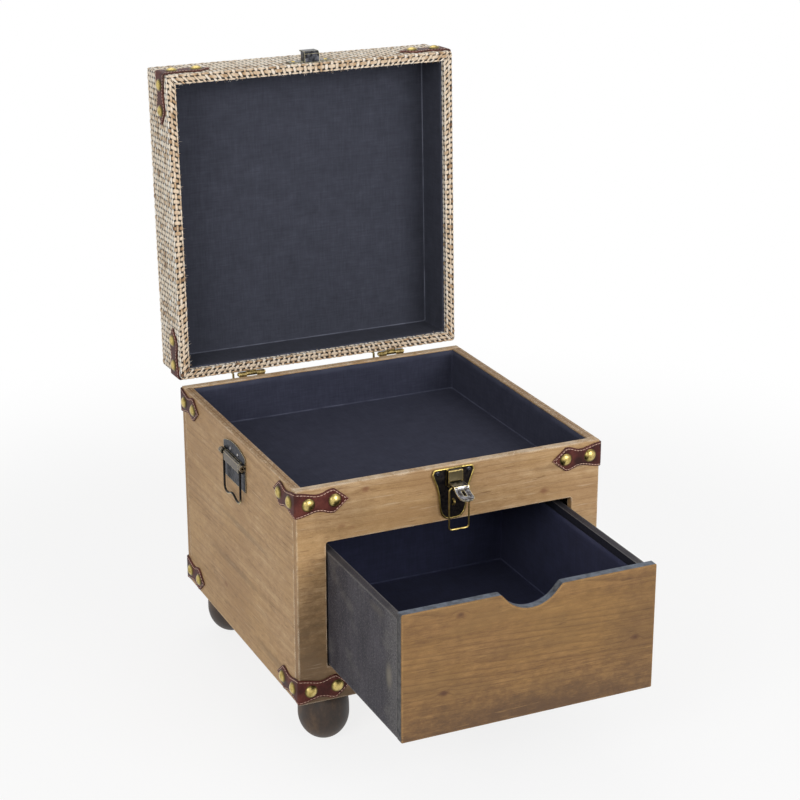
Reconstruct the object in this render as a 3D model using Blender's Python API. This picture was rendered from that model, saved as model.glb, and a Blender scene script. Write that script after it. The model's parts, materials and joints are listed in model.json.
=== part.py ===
"""Accent trunk: a pine case on turned feet, a woven-fabric lid, and a drawer below.

Metres, +Z up, the front faces -Y. Everything is modelled from the centre of the underside
of the case. The lid is modelled closed, in the frame of its hinge axis, and the drawer in
the frame of its front board; empties on the joint axes then open them. At the end the
whole trunk is moved to stand on the origin, under the middle of its box.
"""

import math

import bmesh
import bpy
from mathutils import Vector

# Clearances and cuts
GAP = 0.0003                 # between two pieces that touch
OVERRUN = 0.002              # how far a cut runs past the face it opens
SEW = 0.0002                 # how far two fused shapes reach into each other

# Case
CASE_WIDTH = 0.330
CASE_DEPTH = 0.328
CASE_HEIGHT = 0.228
BOARD = 0.009                # thickness of every case board
BOARD_EASE = 0.0009          # eased edges of the boards
TRAY_DEPTH = 0.0485          # upper compartment, rim to floor board
LINING = 0.0009              # cloth lining of the compartment, the drawer and the lid
LINING_SETBACK = 0.0012      # lining stops this far below a rim
LINING_CORNER = 0.002

# Drawer opening in the front board
OPENING_WIDTH = 0.2686
OPENING_SILL = 0.0365        # height of the lower rail
OPENING_CORNER = 0.0025

# Feet
FOOT_HEIGHT = 0.055
FOOT_RADIUS = 0.026
FOOT_WAIST = 0.027           # depth of the widest ring below the case
FOOT_SHOULDER = 0.032        # half height of the full curve above that ring
FOOT_BELLY = 0.029           # half height of the full curve below it
FOOT_SQUARENESS = 3.0        # exponent of the upper curve: 2 is round, more is fuller
FOOT_INSET_X = 0.038
FOOT_INSET_Y = 0.031
FOOT_SIDES = 24
DOWEL_RADIUS = 0.005
DOWEL_LENGTH = 0.007

# Drawer
DRAWER_SIDE_CLEARANCE = 0.0019
DRAWER_SILL_CLEARANCE = 0.0008
DRAWER_TOP_CLEARANCE = 0.0041
DRAWER_PULLED_OUT = 0.1695   # travel from closed to the pose modelled here
DRAWER_INSET = 0.0004        # front face behind the case front when closed
DRAWER_FRONT_BOARD = 0.010
DRAWER_SIDE_BOARD = 0.008
DRAWER_DEPTH = 0.308
DRAWER_SIDE_RISE = 0.0015    # side boards start this far above the front's lower edge
DRAWER_SIDE_DROP = 0.0078    # and end this far below its upper edge
DRAWER_BACK_DROP = 0.006     # back board ends this far below the side boards
DRAWER_BOTTOM_BOARD = 0.004
DRAWER_GROOVE_RISE = 0.006   # underside of the bottom panel above the side's lower edge
DRAWER_GROOVE_DEPTH = 0.003
NOTCH_CHORD = 0.061          # finger notch, width at the top edge
NOTCH_DEPTH = 0.0185
NOTCH_LIP = 0.0035           # rounded corners beside the notch
NOTCH_SIDES = 40             # of the whole circle, where it is cut in the lining

# Drawer runners
RUNNER_WALL_HEIGHT = 0.034
RUNNER_LEDGE = 0.014         # how far the ledge reaches under the drawer side
RUNNER_LEDGE_HEIGHT = 0.012
RUNNER_SIDE_CLEARANCE = 0.0009

# Corner straps
STRAP_REACH = 0.054          # from the corner to the tip, on each face
STRAP_HALF_HEIGHT = 0.0132   # at the corner
STRAP_THICKNESS = 0.0016
STRAP_BEND = 0.0012          # inner radius round the corner
STRAP_BEND_STEPS = 3
CASE_STRAP_INSET = 0.0150    # centre line from the rim, or from the underside
LID_STRAP_INSET = 0.0200     # centre line above the rim of the lid
STRAP_OUTLINE_SHARES = (     # along the reach, half height
    (0.035, 0.99), (0.14, 0.91), (0.26, 0.79), (0.38, 0.685), (0.50, 0.73), (0.61, 0.90),
    (0.685, 0.96), (0.735, 0.94), (0.82, 0.66), (0.91, 0.35), (1.0, 0.03),
)
NAIL_PLACE_SHARES = (0.225, 0.735)
NAIL_RADIUS = 0.0060
NAIL_HEIGHT = 0.0032
NAIL_SIDES = 10
NAIL_RINGS = 2

# Lid
LID_WIDTH = 0.3276
LID_LENGTH = 0.329
LID_DEPTH = 0.0667
LID_OPEN_DEGREES = 92.25
LID_RIM_GAP = 0.0006         # above the case rim when closed
LID_SETBACK = 0.0004         # its back face in front of the case's back face
LID_CORNER = 0.0026
LID_RAIL = 0.0070
LID_TOP_BOARD = 0.0060
COVER = 0.0012               # thickness of the woven cover
COVER_ROUND = 0.0020
COVER_RETURN = 0.0065        # how far the cover is turned in below the rim

# Lid hinges
HINGE_SPREAD = 0.1675        # between the middles of the two hinges
HINGE_BACK = 0.0029          # axis behind the back face
HINGE_RISE = 0.0019          # axis above the case rim
KNUCKLE_RADIUS = 0.0025
KNUCKLE_BORE = 0.0013
HINGE_PIN_RADIUS = 0.0010
HINGE_WIDTH = 0.030
HINGE_KNUCKLE_SHARE = 0.30   # each outer knuckle, of the width
HINGE_LEAF_HEIGHT = 0.018
HINGE_LEAF = 0.0010
HINGE_PIN_HEAD = 0.0008
HINGE_PIN_HEAD_RADIUS = 0.0016
HINGE_SIDES = 14
STOP_OFFSET = 0.0055         # stop arm beside the knuckles
STOP_WIDTH = 0.0020
STOP_THICKNESS = 0.0016
STOP_LENGTH = 0.0095         # past the axis
STOP_TIE_LOW = 0.0030
STOP_TIE_HIGH = 0.0085

# Front latch
LATCH_TOP = 0.0017           # base plate below the rim
LATCH_HEIGHT = 0.0540
LATCH_HALF_WIDTH = 0.0228
LATCH_PLATE = 0.0022
LATCH_PLATE_EASE = 0.0009
LATCH_OUTLINE_SHARES = (     # right half from the top: across, down
    (0.80, 0.0), (0.93, 0.020), (1.0, 0.095), (0.93, 0.18), (0.79, 0.34), (0.70, 0.50),
    (0.655, 0.66), (0.63, 0.78), (0.56, 0.88), (0.40, 0.96), (0.19, 0.995),
)
HOUSING_HALF_WIDTH = 0.0080
HOUSING_PROUD = 0.0082
HOUSING_TOP = 0.0026         # below the rim
HOUSING_BOTTOM = 0.0142
EAR_THICKNESS = 0.0014
EAR_DROP = 0.0052            # ears below the housing
LEVER_AXIS_PROUD = 0.0055
LEVER_AXIS_DROP = 0.0170     # below the rim
LEVER_PIN = 0.0010
LEVER_SHEET = 0.0012
BARREL_WALL = 0.0008         # of the two barrels curled from the lever's sheet
LEVER_ARM = 0.0150           # from the axis to the step
LEVER_HALF_WIDTH = 0.0078
LEVER_REACH = 0.0335         # from the axis to the tip
LEVER_DOWN_DEGREES = 82      # from the lifted pose modelled here to the closed one
LEVER_DROP = 0.0078          # the tip below the arm
LEVER_SLOT_AT = 0.0210       # from the axis to the slot that drops over the staple
LEVER_SLOT_CLEARANCE = 0.0009
LEVER_STEP_SHARES = (        # the curved step: along from the arm's end, down
    (0.0, 0.0), (0.02, 0.24), (0.09, 0.42), (0.22, 0.60), (0.42, 0.77), (0.68, 0.91), (1.0, 1.0),
)
LOOP_WIRE = 0.0009
LOOP_HALF_WIDTH = 0.0107
LOOP_CORNER = 0.0030
LOOP_SEAT = 0.0100           # from the lever's axis along its arm
SLEEVE_WALL = 0.0005         # bush between the loop and its barrel
STAPLE_RADIUS = 0.0026       # padlock staple on the base plate
STAPLE_WIRE = 0.0008
WIRE_RESOLUTION = 2

# Lid catch
CATCH_FLANGE_HALF = 0.0245
CATCH_FLANGE_LOW = 0.0065    # above the lid's rim
CATCH_FLANGE_HIGH = 0.0170
CATCH_SHEET = 0.0013
CATCH_SIDE_CLEARANCE = 0.0014    # inside the wire loop
CATCH_LOW = 0.0035
CATCH_PROUD = 0.0120
CATCH_SEAT = 0.0150          # where the wire loop rests
CATCH_LIP_HIGH = 0.0190
CATCH_CHAMFER = 0.0025

# Side handles
HANDLE_AXIS_DROP = 0.0250    # bail axis below the rim of the case
HANDLE_BELOW_AXIS = 0.0270   # base plate
HANDLE_ABOVE_AXIS = 0.0105
HANDLE_ARCH = 0.0062
HANDLE_PLATE = 0.0011
HANDLE_ARCH_STEPS = 8
HANDLE_AXIS_PROUD = 0.0042
HANDLE_BAND_BELOW = 0.0095   # pressed band, from the axis
HANDLE_BAND_ABOVE = 0.0025
HANDLE_BAND_PROUD = 0.0052
HANDLE_BAND_CHAMFER = 0.0016
EYE_RADIUS = 0.0032
EYE_BORE = 0.0016
EYE_LENGTH = 0.0062
EYE_WEB = 0.0038
BAIL_WIRE = 0.0012
BAIL_HALF_SPAN = 0.0233
BAIL_BAND_PLAY = 0.0008      # between a leg and the pressed band
BAIL_STUB = 0.0070
BAIL_DROP = 0.0418
BAIL_CORNER = 0.0062
BAIL_BEND = 0.0022
BAIL_RISE = 0.0040           # raised middle of the grip
BAIL_GRIP_STEPS = 12
BAIL_BUMP_SHARE = 0.62       # width of the raised middle, of the half span

# Derived sizes
FRONT = -CASE_DEPTH / 2
BACK = CASE_DEPTH / 2
SIDE = CASE_WIDTH / 2
TRAY_FLOOR = CASE_HEIGHT - TRAY_DEPTH
DIVIDER_LOW = TRAY_FLOOR - BOARD
OPENING_TOP = DIVIDER_LOW - GAP
DRAWER_WIDTH = OPENING_WIDTH - 2 * DRAWER_SIDE_CLEARANCE
DRAWER_BOTTOM = OPENING_SILL + DRAWER_SILL_CLEARANCE
DRAWER_FRONT_HEIGHT = OPENING_TOP - DRAWER_TOP_CLEARANCE + DRAWER_SILL_CLEARANCE - DRAWER_BOTTOM
DRAWER_SIDE_TOP = DRAWER_FRONT_HEIGHT - DRAWER_SIDE_DROP
LID_HINGE = Vector((0, BACK + HINGE_BACK, CASE_HEIGHT + HINGE_RISE))
LID_RIM = LID_RIM_GAP - HINGE_RISE               # in the frame of the lid's hinge
LID_REAR = -(HINGE_BACK + LID_SETBACK)
LID_FRONT = LID_REAR - LID_LENGTH
HANDLE_AXIS_HEIGHT = CASE_HEIGHT - HANDLE_AXIS_DROP
HANDLE_BAND_HALF = BAIL_HALF_SPAN - BAIL_WIRE - BAIL_BAND_PLAY
HANDLE_EYE_START = BAIL_HALF_SPAN + BAIL_WIRE + GAP
HANDLE_HALF_WIDTH = HANDLE_EYE_START + EYE_LENGTH
LATCH_AXIS = Vector((0, FRONT - LEVER_AXIS_PROUD, CASE_HEIGHT - LEVER_AXIS_DROP))
LEVER_BORE = LEVER_PIN + GAP
LEVER_BARREL = LEVER_BORE + BARREL_WALL
SLEEVE_BORE = LOOP_WIRE + GAP
SLEEVE_RADIUS = SLEEVE_BORE + SLEEVE_WALL
LOOP_BORE = SLEEVE_RADIUS + GAP
LOOP_BARREL = LOOP_BORE + BARREL_WALL
LOOP_AXIS_DROP = LOOP_BARREL - LEVER_BARREL      # both barrels hang from the top of the arm
LOOP_AXIS_DOWN = (
    LATCH_AXIS.z - LOOP_SEAT * math.sin(math.radians(LEVER_DOWN_DEGREES))
    - LOOP_AXIS_DROP * math.cos(math.radians(LEVER_DOWN_DEGREES))
)
CATCH_SEAT_HEIGHT = CASE_HEIGHT + LID_RIM_GAP + CATCH_SEAT
LOOP_LENGTH = CATCH_SEAT_HEIGHT + GAP + LOOP_WIRE - LOOP_AXIS_DOWN    # drawn tight over the catch
CATCH_HALF_WIDTH = LOOP_HALF_WIDTH - LOOP_WIRE - CATCH_SIDE_CLEARANCE

PINE = ("stained pine", (0.42, 0.27, 0.135), 0.62, 0.0)
ORANGE_PINE = ("orange stained pine", (0.36, 0.205, 0.075), 0.55, 0.0)
GREY_PAINT = ("grey painted wood", (0.070, 0.068, 0.074), 0.72, 0.0)
FOOT_STAIN = ("dark stained wood", (0.085, 0.060, 0.045), 0.50, 0.0)
LINING_CLOTH = ("charcoal lining cloth", (0.034, 0.037, 0.050), 0.90, 0.0)
DRAWER_CLOTH = ("black lining cloth", (0.014, 0.015, 0.021), 0.92, 0.0)
WOVEN = ("woven cream fabric", (0.62, 0.51, 0.40), 0.90, 0.0)
LEATHER = ("brown leather", (0.115, 0.030, 0.022), 0.52, 0.0)
ANTIQUE_BRASS = ("antique brass", (0.110, 0.090, 0.050), 0.38, 1.0)
BRIGHT_BRASS = ("bright brass", (0.46, 0.35, 0.12), 0.30, 1.0)
DARK_STEEL = ("dark steel", (0.070, 0.075, 0.082), 0.42, 1.0)


def clear_scene():
    for obj in list(bpy.data.objects):
        bpy.data.objects.remove(obj, do_unlink=True)


def material_of(finish):
    name, colour, roughness, metallic = finish
    made = bpy.data.materials.get(name)
    if made:
        return made
    made = bpy.data.materials.new(name)
    made.use_nodes = True
    shader = made.node_tree.nodes["Principled BSDF"]
    shader.inputs["Base Color"].default_value = (*colour, 1)
    shader.inputs["Roughness"].default_value = roughness
    shader.inputs["Metallic"].default_value = metallic
    return made


def place(name, data, finish=None, parent=None, at=(0, 0, 0)):
    obj = bpy.data.objects.new(name, data)
    bpy.context.scene.collection.objects.link(obj)
    obj.location = at
    obj.parent = parent
    if finish:
        data.materials.append(material_of(finish))
    return obj


def mesh_piece(name, bm, finish=None, parent=None, at=(0, 0, 0), smooth=True):
    bmesh.ops.recalc_face_normals(bm, faces=bm.faces)
    mesh = bpy.data.meshes.new(name)
    bm.to_mesh(mesh)
    bm.free()
    if smooth:
        mesh.shade_smooth()
        mesh.set_sharp_from_angle(angle=math.radians(32))
    return place(name, mesh, finish, parent, at)


def empty(name, at, parent=None):
    axis = place(name, None, parent=parent, at=at)
    axis.empty_display_size = KNUCKLE_RADIUS
    return axis


def hide_tool(tool):
    tool.hide_render = True
    tool.display_type = 'WIRE'


def combine(obj, tool, operation):
    hide_tool(tool)
    modifier = obj.modifiers.new(operation.title(), 'BOOLEAN')
    modifier.object = tool
    modifier.operation = operation
    return obj


def cut(obj, tool):
    return combine(obj, tool, 'DIFFERENCE')


def fuse(obj, tool):
    return combine(obj, tool, 'UNION')


def ease(obj, width, segments=2):
    bevel = obj.modifiers.new("Eased edges", 'BEVEL')
    bevel.width = width
    bevel.segments = segments
    bevel.limit_method = 'ANGLE'
    bevel.angle_limit = math.radians(40)
    return obj


def block(name, low, high, finish=None, parent=None):
    """A box between two corners."""
    bm = bmesh.new()
    bmesh.ops.create_cube(bm, size=1)
    low, high = Vector(low), Vector(high)
    size, middle = high - low, (high + low) / 2
    for vertex in bm.verts:
        vertex.co = Vector(c * s for c, s in zip(vertex.co, size)) + middle
    return mesh_piece(name, bm, finish, parent, smooth=False)


def board(name, low, high, finish=PINE, parent=None):
    return ease(block(name, low, high, finish, parent), BOARD_EASE)


def prism(name, outline, axis, start, end, finish=None, parent=None):
    """A flat outline in the two other axes, in their order, drawn out along one axis."""
    slots = {'X': (1, 2, 0), 'Y': (0, 2, 1), 'Z': (0, 1, 2)}[axis]
    bm = bmesh.new()
    ring = []
    for a, b in outline:
        spot = [0.0, 0.0, 0.0]
        spot[slots[0]], spot[slots[1]], spot[slots[2]] = a, b, start
        ring.append(bm.verts.new(spot))
    face = bm.faces.new(ring)
    grown = bmesh.ops.extrude_face_region(bm, geom=[face])
    shift = Vector((0, 0, 0))
    shift[slots[2]] = end - start
    moved = [item for item in grown["geom"] if isinstance(item, bmesh.types.BMVert)]
    bmesh.ops.translate(bm, verts=moved, vec=shift)
    return mesh_piece(name, bm, finish, parent)


def rod(name, centre, axis, radius, start, end, sides=HINGE_SIDES, finish=None, parent=None):
    """A round bar along an axis, through a centre given in the two other axes."""
    outline = [
        (centre[0] + radius * math.cos(turn), centre[1] + radius * math.sin(turn))
        for turn in (2 * math.pi * k / sides for k in range(sides))
    ]
    return prism(name, outline, axis, start, end, finish, parent)


def rounded_rectangle(low, high, radius, steps=3):
    """Corner points of a rectangle with arcs at its corners, anticlockwise."""
    points = []
    corners = ((high[0], high[1], 0), (low[0], high[1], 1), (low[0], low[1], 2), (high[0], low[1], 3))
    for x, y, quarter in corners:
        inner_x = x - math.copysign(radius, x - (low[0] + high[0]) / 2)
        inner_y = y - math.copysign(radius, y - (low[1] + high[1]) / 2)
        for step in range(steps + 1):
            turn = (quarter + step / steps) * math.pi / 2
            points.append((inner_x + radius * math.cos(turn), inner_y + radius * math.sin(turn)))
    return points


def shell_of_loops(name, loops, finish, parent=None):
    """A closed skin through rounded rectangles: each is (low, high, corner radius, height)."""
    bm = bmesh.new()
    rings = [
        [bm.verts.new((x, y, height)) for x, y in rounded_rectangle(low, high, radius)]
        for low, high, radius, height in loops
    ]
    for below, above in zip(rings, rings[1:]):
        count = len(below)
        for k in range(count):
            following = (k + 1) % count
            bm.faces.new((below[k], below[following], above[following], above[k]))
    bm.faces.new(rings[0])
    bm.faces.new(rings[-1])
    return mesh_piece(name, bm, finish, parent)


def inset(low, high, amount):
    return (low[0] + amount, low[1] + amount), (high[0] - amount, high[1] - amount)


def lining_tray(name, low, high, bottom, top, finish, parent=None):
    """A cloth lining: floor and four walls, open at the top (or at the bottom, top < bottom)."""
    up = math.copysign(1, top - bottom)
    inner_low, inner_high = inset(low, high, LINING)
    loops = [
        (low, high, LINING_CORNER, bottom),
        (low, high, LINING_CORNER, top),
        (inner_low, inner_high, LINING_CORNER - LINING, top),
        (inner_low, inner_high, LINING_CORNER - LINING, bottom + up * LINING),
    ]
    return shell_of_loops(name, loops, finish, parent)


def turned(name, profile, sides, finish, at):
    """A profile of (radius, height) from axis to axis, spun round Z."""
    bm = bmesh.new()
    spots = [bm.verts.new((radius, 0, height)) for radius, height in profile]
    edges = [bm.edges.new(pair) for pair in zip(spots, spots[1:])]
    bmesh.ops.spin(bm, geom=spots + edges, cent=(0, 0, 0), axis=(0, 0, 1), angle=2 * math.pi,
                   steps=sides, use_merge=True)
    bmesh.ops.remove_doubles(bm, verts=bm.verts, dist=SEW / 10)
    return mesh_piece(name, bm, finish, at=at)


def wire(name, path, radius, finish, parent=None, at=(0, 0, 0), closed=False):
    """A bent wire through the points of a path."""
    curve = bpy.data.curves.new(name, 'CURVE')
    curve.dimensions = '3D'
    curve.bevel_depth = radius
    curve.bevel_resolution = WIRE_RESOLUTION
    curve.use_fill_caps = True
    spline = curve.splines.new('POLY')
    spline.points.add(len(path) - 1)
    for point, spot in zip(spline.points, path):
        point.co = (*spot, 1)
    spline.use_cyclic_u = closed
    return place(name, curve, finish, parent, at)


def arc(centre, radius, start, end, steps):
    """Points on an arc in a plane, angles in quarter turns."""
    turns = [(start + (end - start) * k / steps) * math.pi / 2 for k in range(steps + 1)]
    return [(centre[0] + radius * math.cos(t), centre[1] + radius * math.sin(t)) for t in turns]


def build_case():
    inner = SIDE - BOARD - GAP
    front_in, back_in = FRONT + BOARD + GAP, BACK - BOARD - GAP
    front = block("case_front_panel", (-SIDE, FRONT, 0), (SIDE, FRONT + BOARD, CASE_HEIGHT), PINE)
    half = OPENING_WIDTH / 2
    window = rounded_rectangle((-half, OPENING_SILL), (half, OPENING_TOP), OPENING_CORNER)
    cut(front, prism("opening_tool", window, 'Y', FRONT - OVERRUN, FRONT + BOARD + OVERRUN))
    ease(front, BOARD_EASE)
    board("case_back_panel", (-SIDE, BACK - BOARD, 0), (SIDE, BACK, CASE_HEIGHT))
    for side, name in ((-1, "case_left_panel"), (1, "case_right_panel")):
        near, far = sorted((side * (SIDE - BOARD), side * SIDE))
        board(name, (near, front_in, 0), (far, back_in, CASE_HEIGHT))
    bottom = block("case_bottom_panel", (-inner, front_in, 0), (inner, back_in, BOARD), PINE)
    for x, y in foot_places().values():
        hole = rod("dowel_tool", (x, y), 'Z', DOWEL_RADIUS + GAP, -OVERRUN, DOWEL_LENGTH + GAP)
        cut(bottom, hole)
    board("compartment_floor", (-inner, front_in, DIVIDER_LOW), (inner, back_in, TRAY_FLOOR))
    low, high = (-inner, front_in), (inner, back_in)
    lining_tray("tray_lining", low, high, TRAY_FLOOR + GAP, CASE_HEIGHT - LINING_SETBACK, LINING_CLOTH)


def foot_places():
    x, y = SIDE - FOOT_INSET_X, BACK - FOOT_INSET_Y
    return {
        "foot_front_left": (-x, -y), "foot_front_right": (x, -y),
        "foot_rear_left": (-x, y), "foot_rear_right": (x, y),
    }


def foot_profile():
    """Dowel, flat top, full shoulder, round belly and a small flat underneath."""
    points = [(0, DOWEL_LENGTH), (DOWEL_RADIUS, DOWEL_LENGTH), (DOWEL_RADIUS, -GAP)]
    upper_steps, lower_steps = 5, 7
    for step in range(upper_steps, 0, -1):
        rise = (FOOT_WAIST - GAP) * step / upper_steps
        fullness = 1 - (rise / FOOT_SHOULDER) ** FOOT_SQUARENESS
        points.append((FOOT_RADIUS * fullness ** (1 / FOOT_SQUARENESS), rise - FOOT_WAIST))
    lowest = math.asin((FOOT_HEIGHT - FOOT_WAIST) / FOOT_BELLY)
    for step in range(lower_steps + 1):
        turn = lowest * step / lower_steps
        points.append((FOOT_RADIUS * math.cos(turn), -FOOT_WAIST - FOOT_BELLY * math.sin(turn)))
    points.append((0, -FOOT_HEIGHT))
    return points


def build_feet():
    for name, (x, y) in foot_places().items():
        turned(name, foot_profile(), FOOT_SIDES, FOOT_STAIN, (x, y, 0))


def build_runners():
    """Angle-shaped wooden runners: a wall beside the drawer and a ledge under its side."""
    ledge_top = DRAWER_BOTTOM + DRAWER_SIDE_RISE - GAP
    wall_in = DRAWER_WIDTH / 2 + RUNNER_SIDE_CLEARANCE
    wall_out = SIDE - BOARD - GAP
    ledge_in = DRAWER_WIDTH / 2 - RUNNER_LEDGE
    ledge_low = ledge_top - RUNNER_LEDGE_HEIGHT
    wall_top = ledge_low + RUNNER_WALL_HEIGHT
    shut_front = FRONT + DRAWER_INSET + DRAWER_FRONT_BOARD
    outline = ((ledge_in, ledge_low), (wall_out, ledge_low), (wall_out, wall_top),
               (wall_in, wall_top), (wall_in, ledge_top), (ledge_in, ledge_top))
    for side, name in ((-1, "drawer_runner_left"), (1, "drawer_runner_right")):
        mirrored = [(side * x, z) for x, z in outline]
        prism(name, mirrored, 'Y', shut_front + GAP, BACK - BOARD - GAP, GREY_PAINT)


def notch_circle():
    """Radius of the finger notch, and height of its centre in the frame of the drawer."""
    radius = ((NOTCH_CHORD / 2) ** 2 + NOTCH_DEPTH ** 2) / (2 * NOTCH_DEPTH)
    return radius, DRAWER_FRONT_HEIGHT - NOTCH_DEPTH + radius


def notched_front():
    """Outline of the drawer front, with the half-moon finger notch in its top edge."""
    half, top = DRAWER_WIDTH / 2, DRAWER_FRONT_HEIGHT
    chord = NOTCH_CHORD / 2
    radius, centre_height = notch_circle()
    sweep = math.asin(chord / radius)
    steps = 14
    turns = [sweep - 2 * sweep * k / steps for k in range(1, steps)]
    dip = [(radius * math.sin(turn), centre_height - radius * math.cos(turn)) for turn in turns]
    lip_drop = NOTCH_LIP * math.tan(sweep / 2) / 2
    right = [(chord + NOTCH_LIP, top), (chord + NOTCH_LIP / 3, top - lip_drop / 3)]
    left = [(-x, z) for x, z in reversed(right)]
    return [(-half, 0), (half, 0), (half, top), *right, *dip, *left, (-half, top)]


def build_drawer():
    pulled = FRONT + DRAWER_INSET - DRAWER_PULLED_OUT
    drawer = empty("drawer_axis", (0, pulled, DRAWER_BOTTOM))
    half = DRAWER_WIDTH / 2
    behind = DRAWER_FRONT_BOARD + GAP
    rear = DRAWER_DEPTH
    low = DRAWER_SIDE_RISE
    groove_low = low + DRAWER_GROOVE_RISE
    groove_high = groove_low + DRAWER_BOTTOM_BOARD + 2 * GAP
    inner = half - DRAWER_SIDE_BOARD
    groove = inner + DRAWER_GROOVE_DEPTH
    front = prism("drawer_front", notched_front(), 'Y', 0, DRAWER_FRONT_BOARD, ORANGE_PINE, drawer)
    ease(front, BOARD_EASE, segments=1)
    for side, name in ((-1, "drawer_left_side"), (1, "drawer_right_side")):
        outline = ((inner, low), (half, low), (half, DRAWER_SIDE_TOP), (inner, DRAWER_SIDE_TOP),
                   (inner, groove_high), (groove, groove_high), (groove, groove_low), (inner, groove_low))
        prism(name, [(side * x, z) for x, z in outline], 'Y', behind, rear, GREY_PAINT, drawer)
    back_in = rear - DRAWER_SIDE_BOARD
    board("drawer_back", (-inner + GAP, back_in, groove_high),
          (inner - GAP, rear, DRAWER_SIDE_TOP - DRAWER_BACK_DROP), GREY_PAINT, drawer)
    block("drawer_bottom", (-groove + GAP, behind, groove_low + GAP),
          (groove - GAP, rear, groove_high - GAP), GREY_PAINT, drawer)
    lining = lining_tray(
        "drawer_lining", (-inner + GAP, behind), (inner - GAP, back_in - GAP), groove_high,
        DRAWER_SIDE_TOP - DRAWER_BACK_DROP - LINING_SETBACK, DRAWER_CLOTH, drawer)
    radius, centre_height = notch_circle()
    cut(lining, rod("lining_notch_tool", (0, centre_height), 'Y', radius + LINING_SETBACK,
                    behind - OVERRUN, behind + LINING_CORNER, NOTCH_SIDES, parent=drawer))


def strap_stations():
    """Half the strap: distance from the corner along the face, half height."""
    return [(STRAP_REACH * along, STRAP_HALF_HEIGHT * tall) for along, tall in STRAP_OUTLINE_SHARES]


def strap_sections():
    """Sections round the corner: place on the face line, outward direction, half height."""
    straight = [
        (Vector((-along, 0)), Vector((0, -1)), tall) for along, tall in reversed(strap_stations())
        if along > STRAP_BEND + GAP
    ]
    other = [(Vector((0, -spot.x)), Vector((1, 0)), tall) for spot, _, tall in reversed(straight)]
    centre = Vector((-STRAP_BEND, STRAP_BEND))
    bend = []
    for step in range(STRAP_BEND_STEPS + 1):
        turn = (step / STRAP_BEND_STEPS - 1) * math.pi / 2
        outward = Vector((math.cos(turn), math.sin(turn)))
        bend.append((centre + outward * STRAP_BEND, outward, STRAP_HALF_HEIGHT))
    return straight + bend + other


def strap_mesh():
    """A strap round the corner at the origin, whose faces look along -Y and +X."""
    bm = bmesh.new()
    rings = []
    for spot, outward, tall in strap_sections():
        inner = spot + outward * GAP
        outer = inner + outward * STRAP_THICKNESS
        corners = ((inner, -tall), (outer, -tall), (outer, tall), (inner, tall))
        rings.append([bm.verts.new((flat.x, flat.y, height)) for flat, height in corners])
    for near, far in zip(rings, rings[1:]):
        for k in range(4):
            following = (k + 1) % 4
            bm.faces.new((near[k], near[following], far[following], far[k]))
    bm.faces.new(rings[0])
    bm.faces.new(rings[-1])
    return bm


def add_nails(bm):
    """Four domed nail heads, two on each face, as loose shells in one mesh."""
    base = GAP + STRAP_THICKNESS - SEW
    sphere = (NAIL_RADIUS ** 2 + NAIL_HEIGHT ** 2) / (2 * NAIL_HEIGHT)
    sweep = math.asin(NAIL_RADIUS / sphere)
    for share in NAIL_PLACE_SHARES:
        along = STRAP_REACH * share
        for middle, outward, sideways in (
            (Vector((-along, -base, 0)), Vector((0, -1, 0)), Vector((1, 0, 0))),
            (Vector((base, along, 0)), Vector((1, 0, 0)), Vector((0, 1, 0))),
        ):
            rings = []
            for step in range(NAIL_RINGS):
                turn = sweep * (1 - step / NAIL_RINGS)
                rise = sphere * (math.cos(turn) - math.cos(sweep))
                rings.append(ring_round(bm, middle + outward * rise, sphere * math.sin(turn), sideways))
            top = bm.verts.new(middle + outward * NAIL_HEIGHT)
            close_dome(bm, rings, top)


def ring_round(bm, middle, radius, sideways):
    up = Vector((0, 0, 1))
    turns = [2 * math.pi * k / NAIL_SIDES for k in range(NAIL_SIDES)]
    return [bm.verts.new(middle + radius * (math.cos(t) * sideways + math.sin(t) * up)) for t in turns]


def close_dome(bm, rings, top):
    bm.faces.new(rings[0])
    for near, far in zip(rings, rings[1:]):
        for k in range(NAIL_SIDES):
            following = (k + 1) % NAIL_SIDES
            bm.faces.new((near[k], near[following], far[following], far[k]))
    for k in range(NAIL_SIDES):
        bm.faces.new((rings[-1][k], rings[-1][(k + 1) % NAIL_SIDES], top))


def corner_strap(name, corner, quarter_turns, parent=None):
    """A leather strap with its nails, turned round Z to its corner."""
    strap = mesh_piece(name, strap_mesh(), LEATHER, parent, corner)
    nails = bmesh.new()
    add_nails(nails)
    heads = mesh_piece(name + "_nails_tool", nails, None, parent, corner)
    for obj in (strap, heads):
        obj.rotation_euler.z = quarter_turns * math.pi / 2
    fuse(strap, heads)


def build_case_straps():
    corners = {
        "front_right": (SIDE, FRONT, 0), "rear_right": (SIDE, BACK, 1),
        "rear_left": (-SIDE, BACK, 2), "front_left": (-SIDE, FRONT, 3),
    }
    for level, height in (("top", CASE_HEIGHT - CASE_STRAP_INSET), ("bottom", CASE_STRAP_INSET)):
        for place_name, (x, y, turns) in corners.items():
            corner_strap(f"strap_{level}_{place_name}", (x, y, height), turns)


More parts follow.
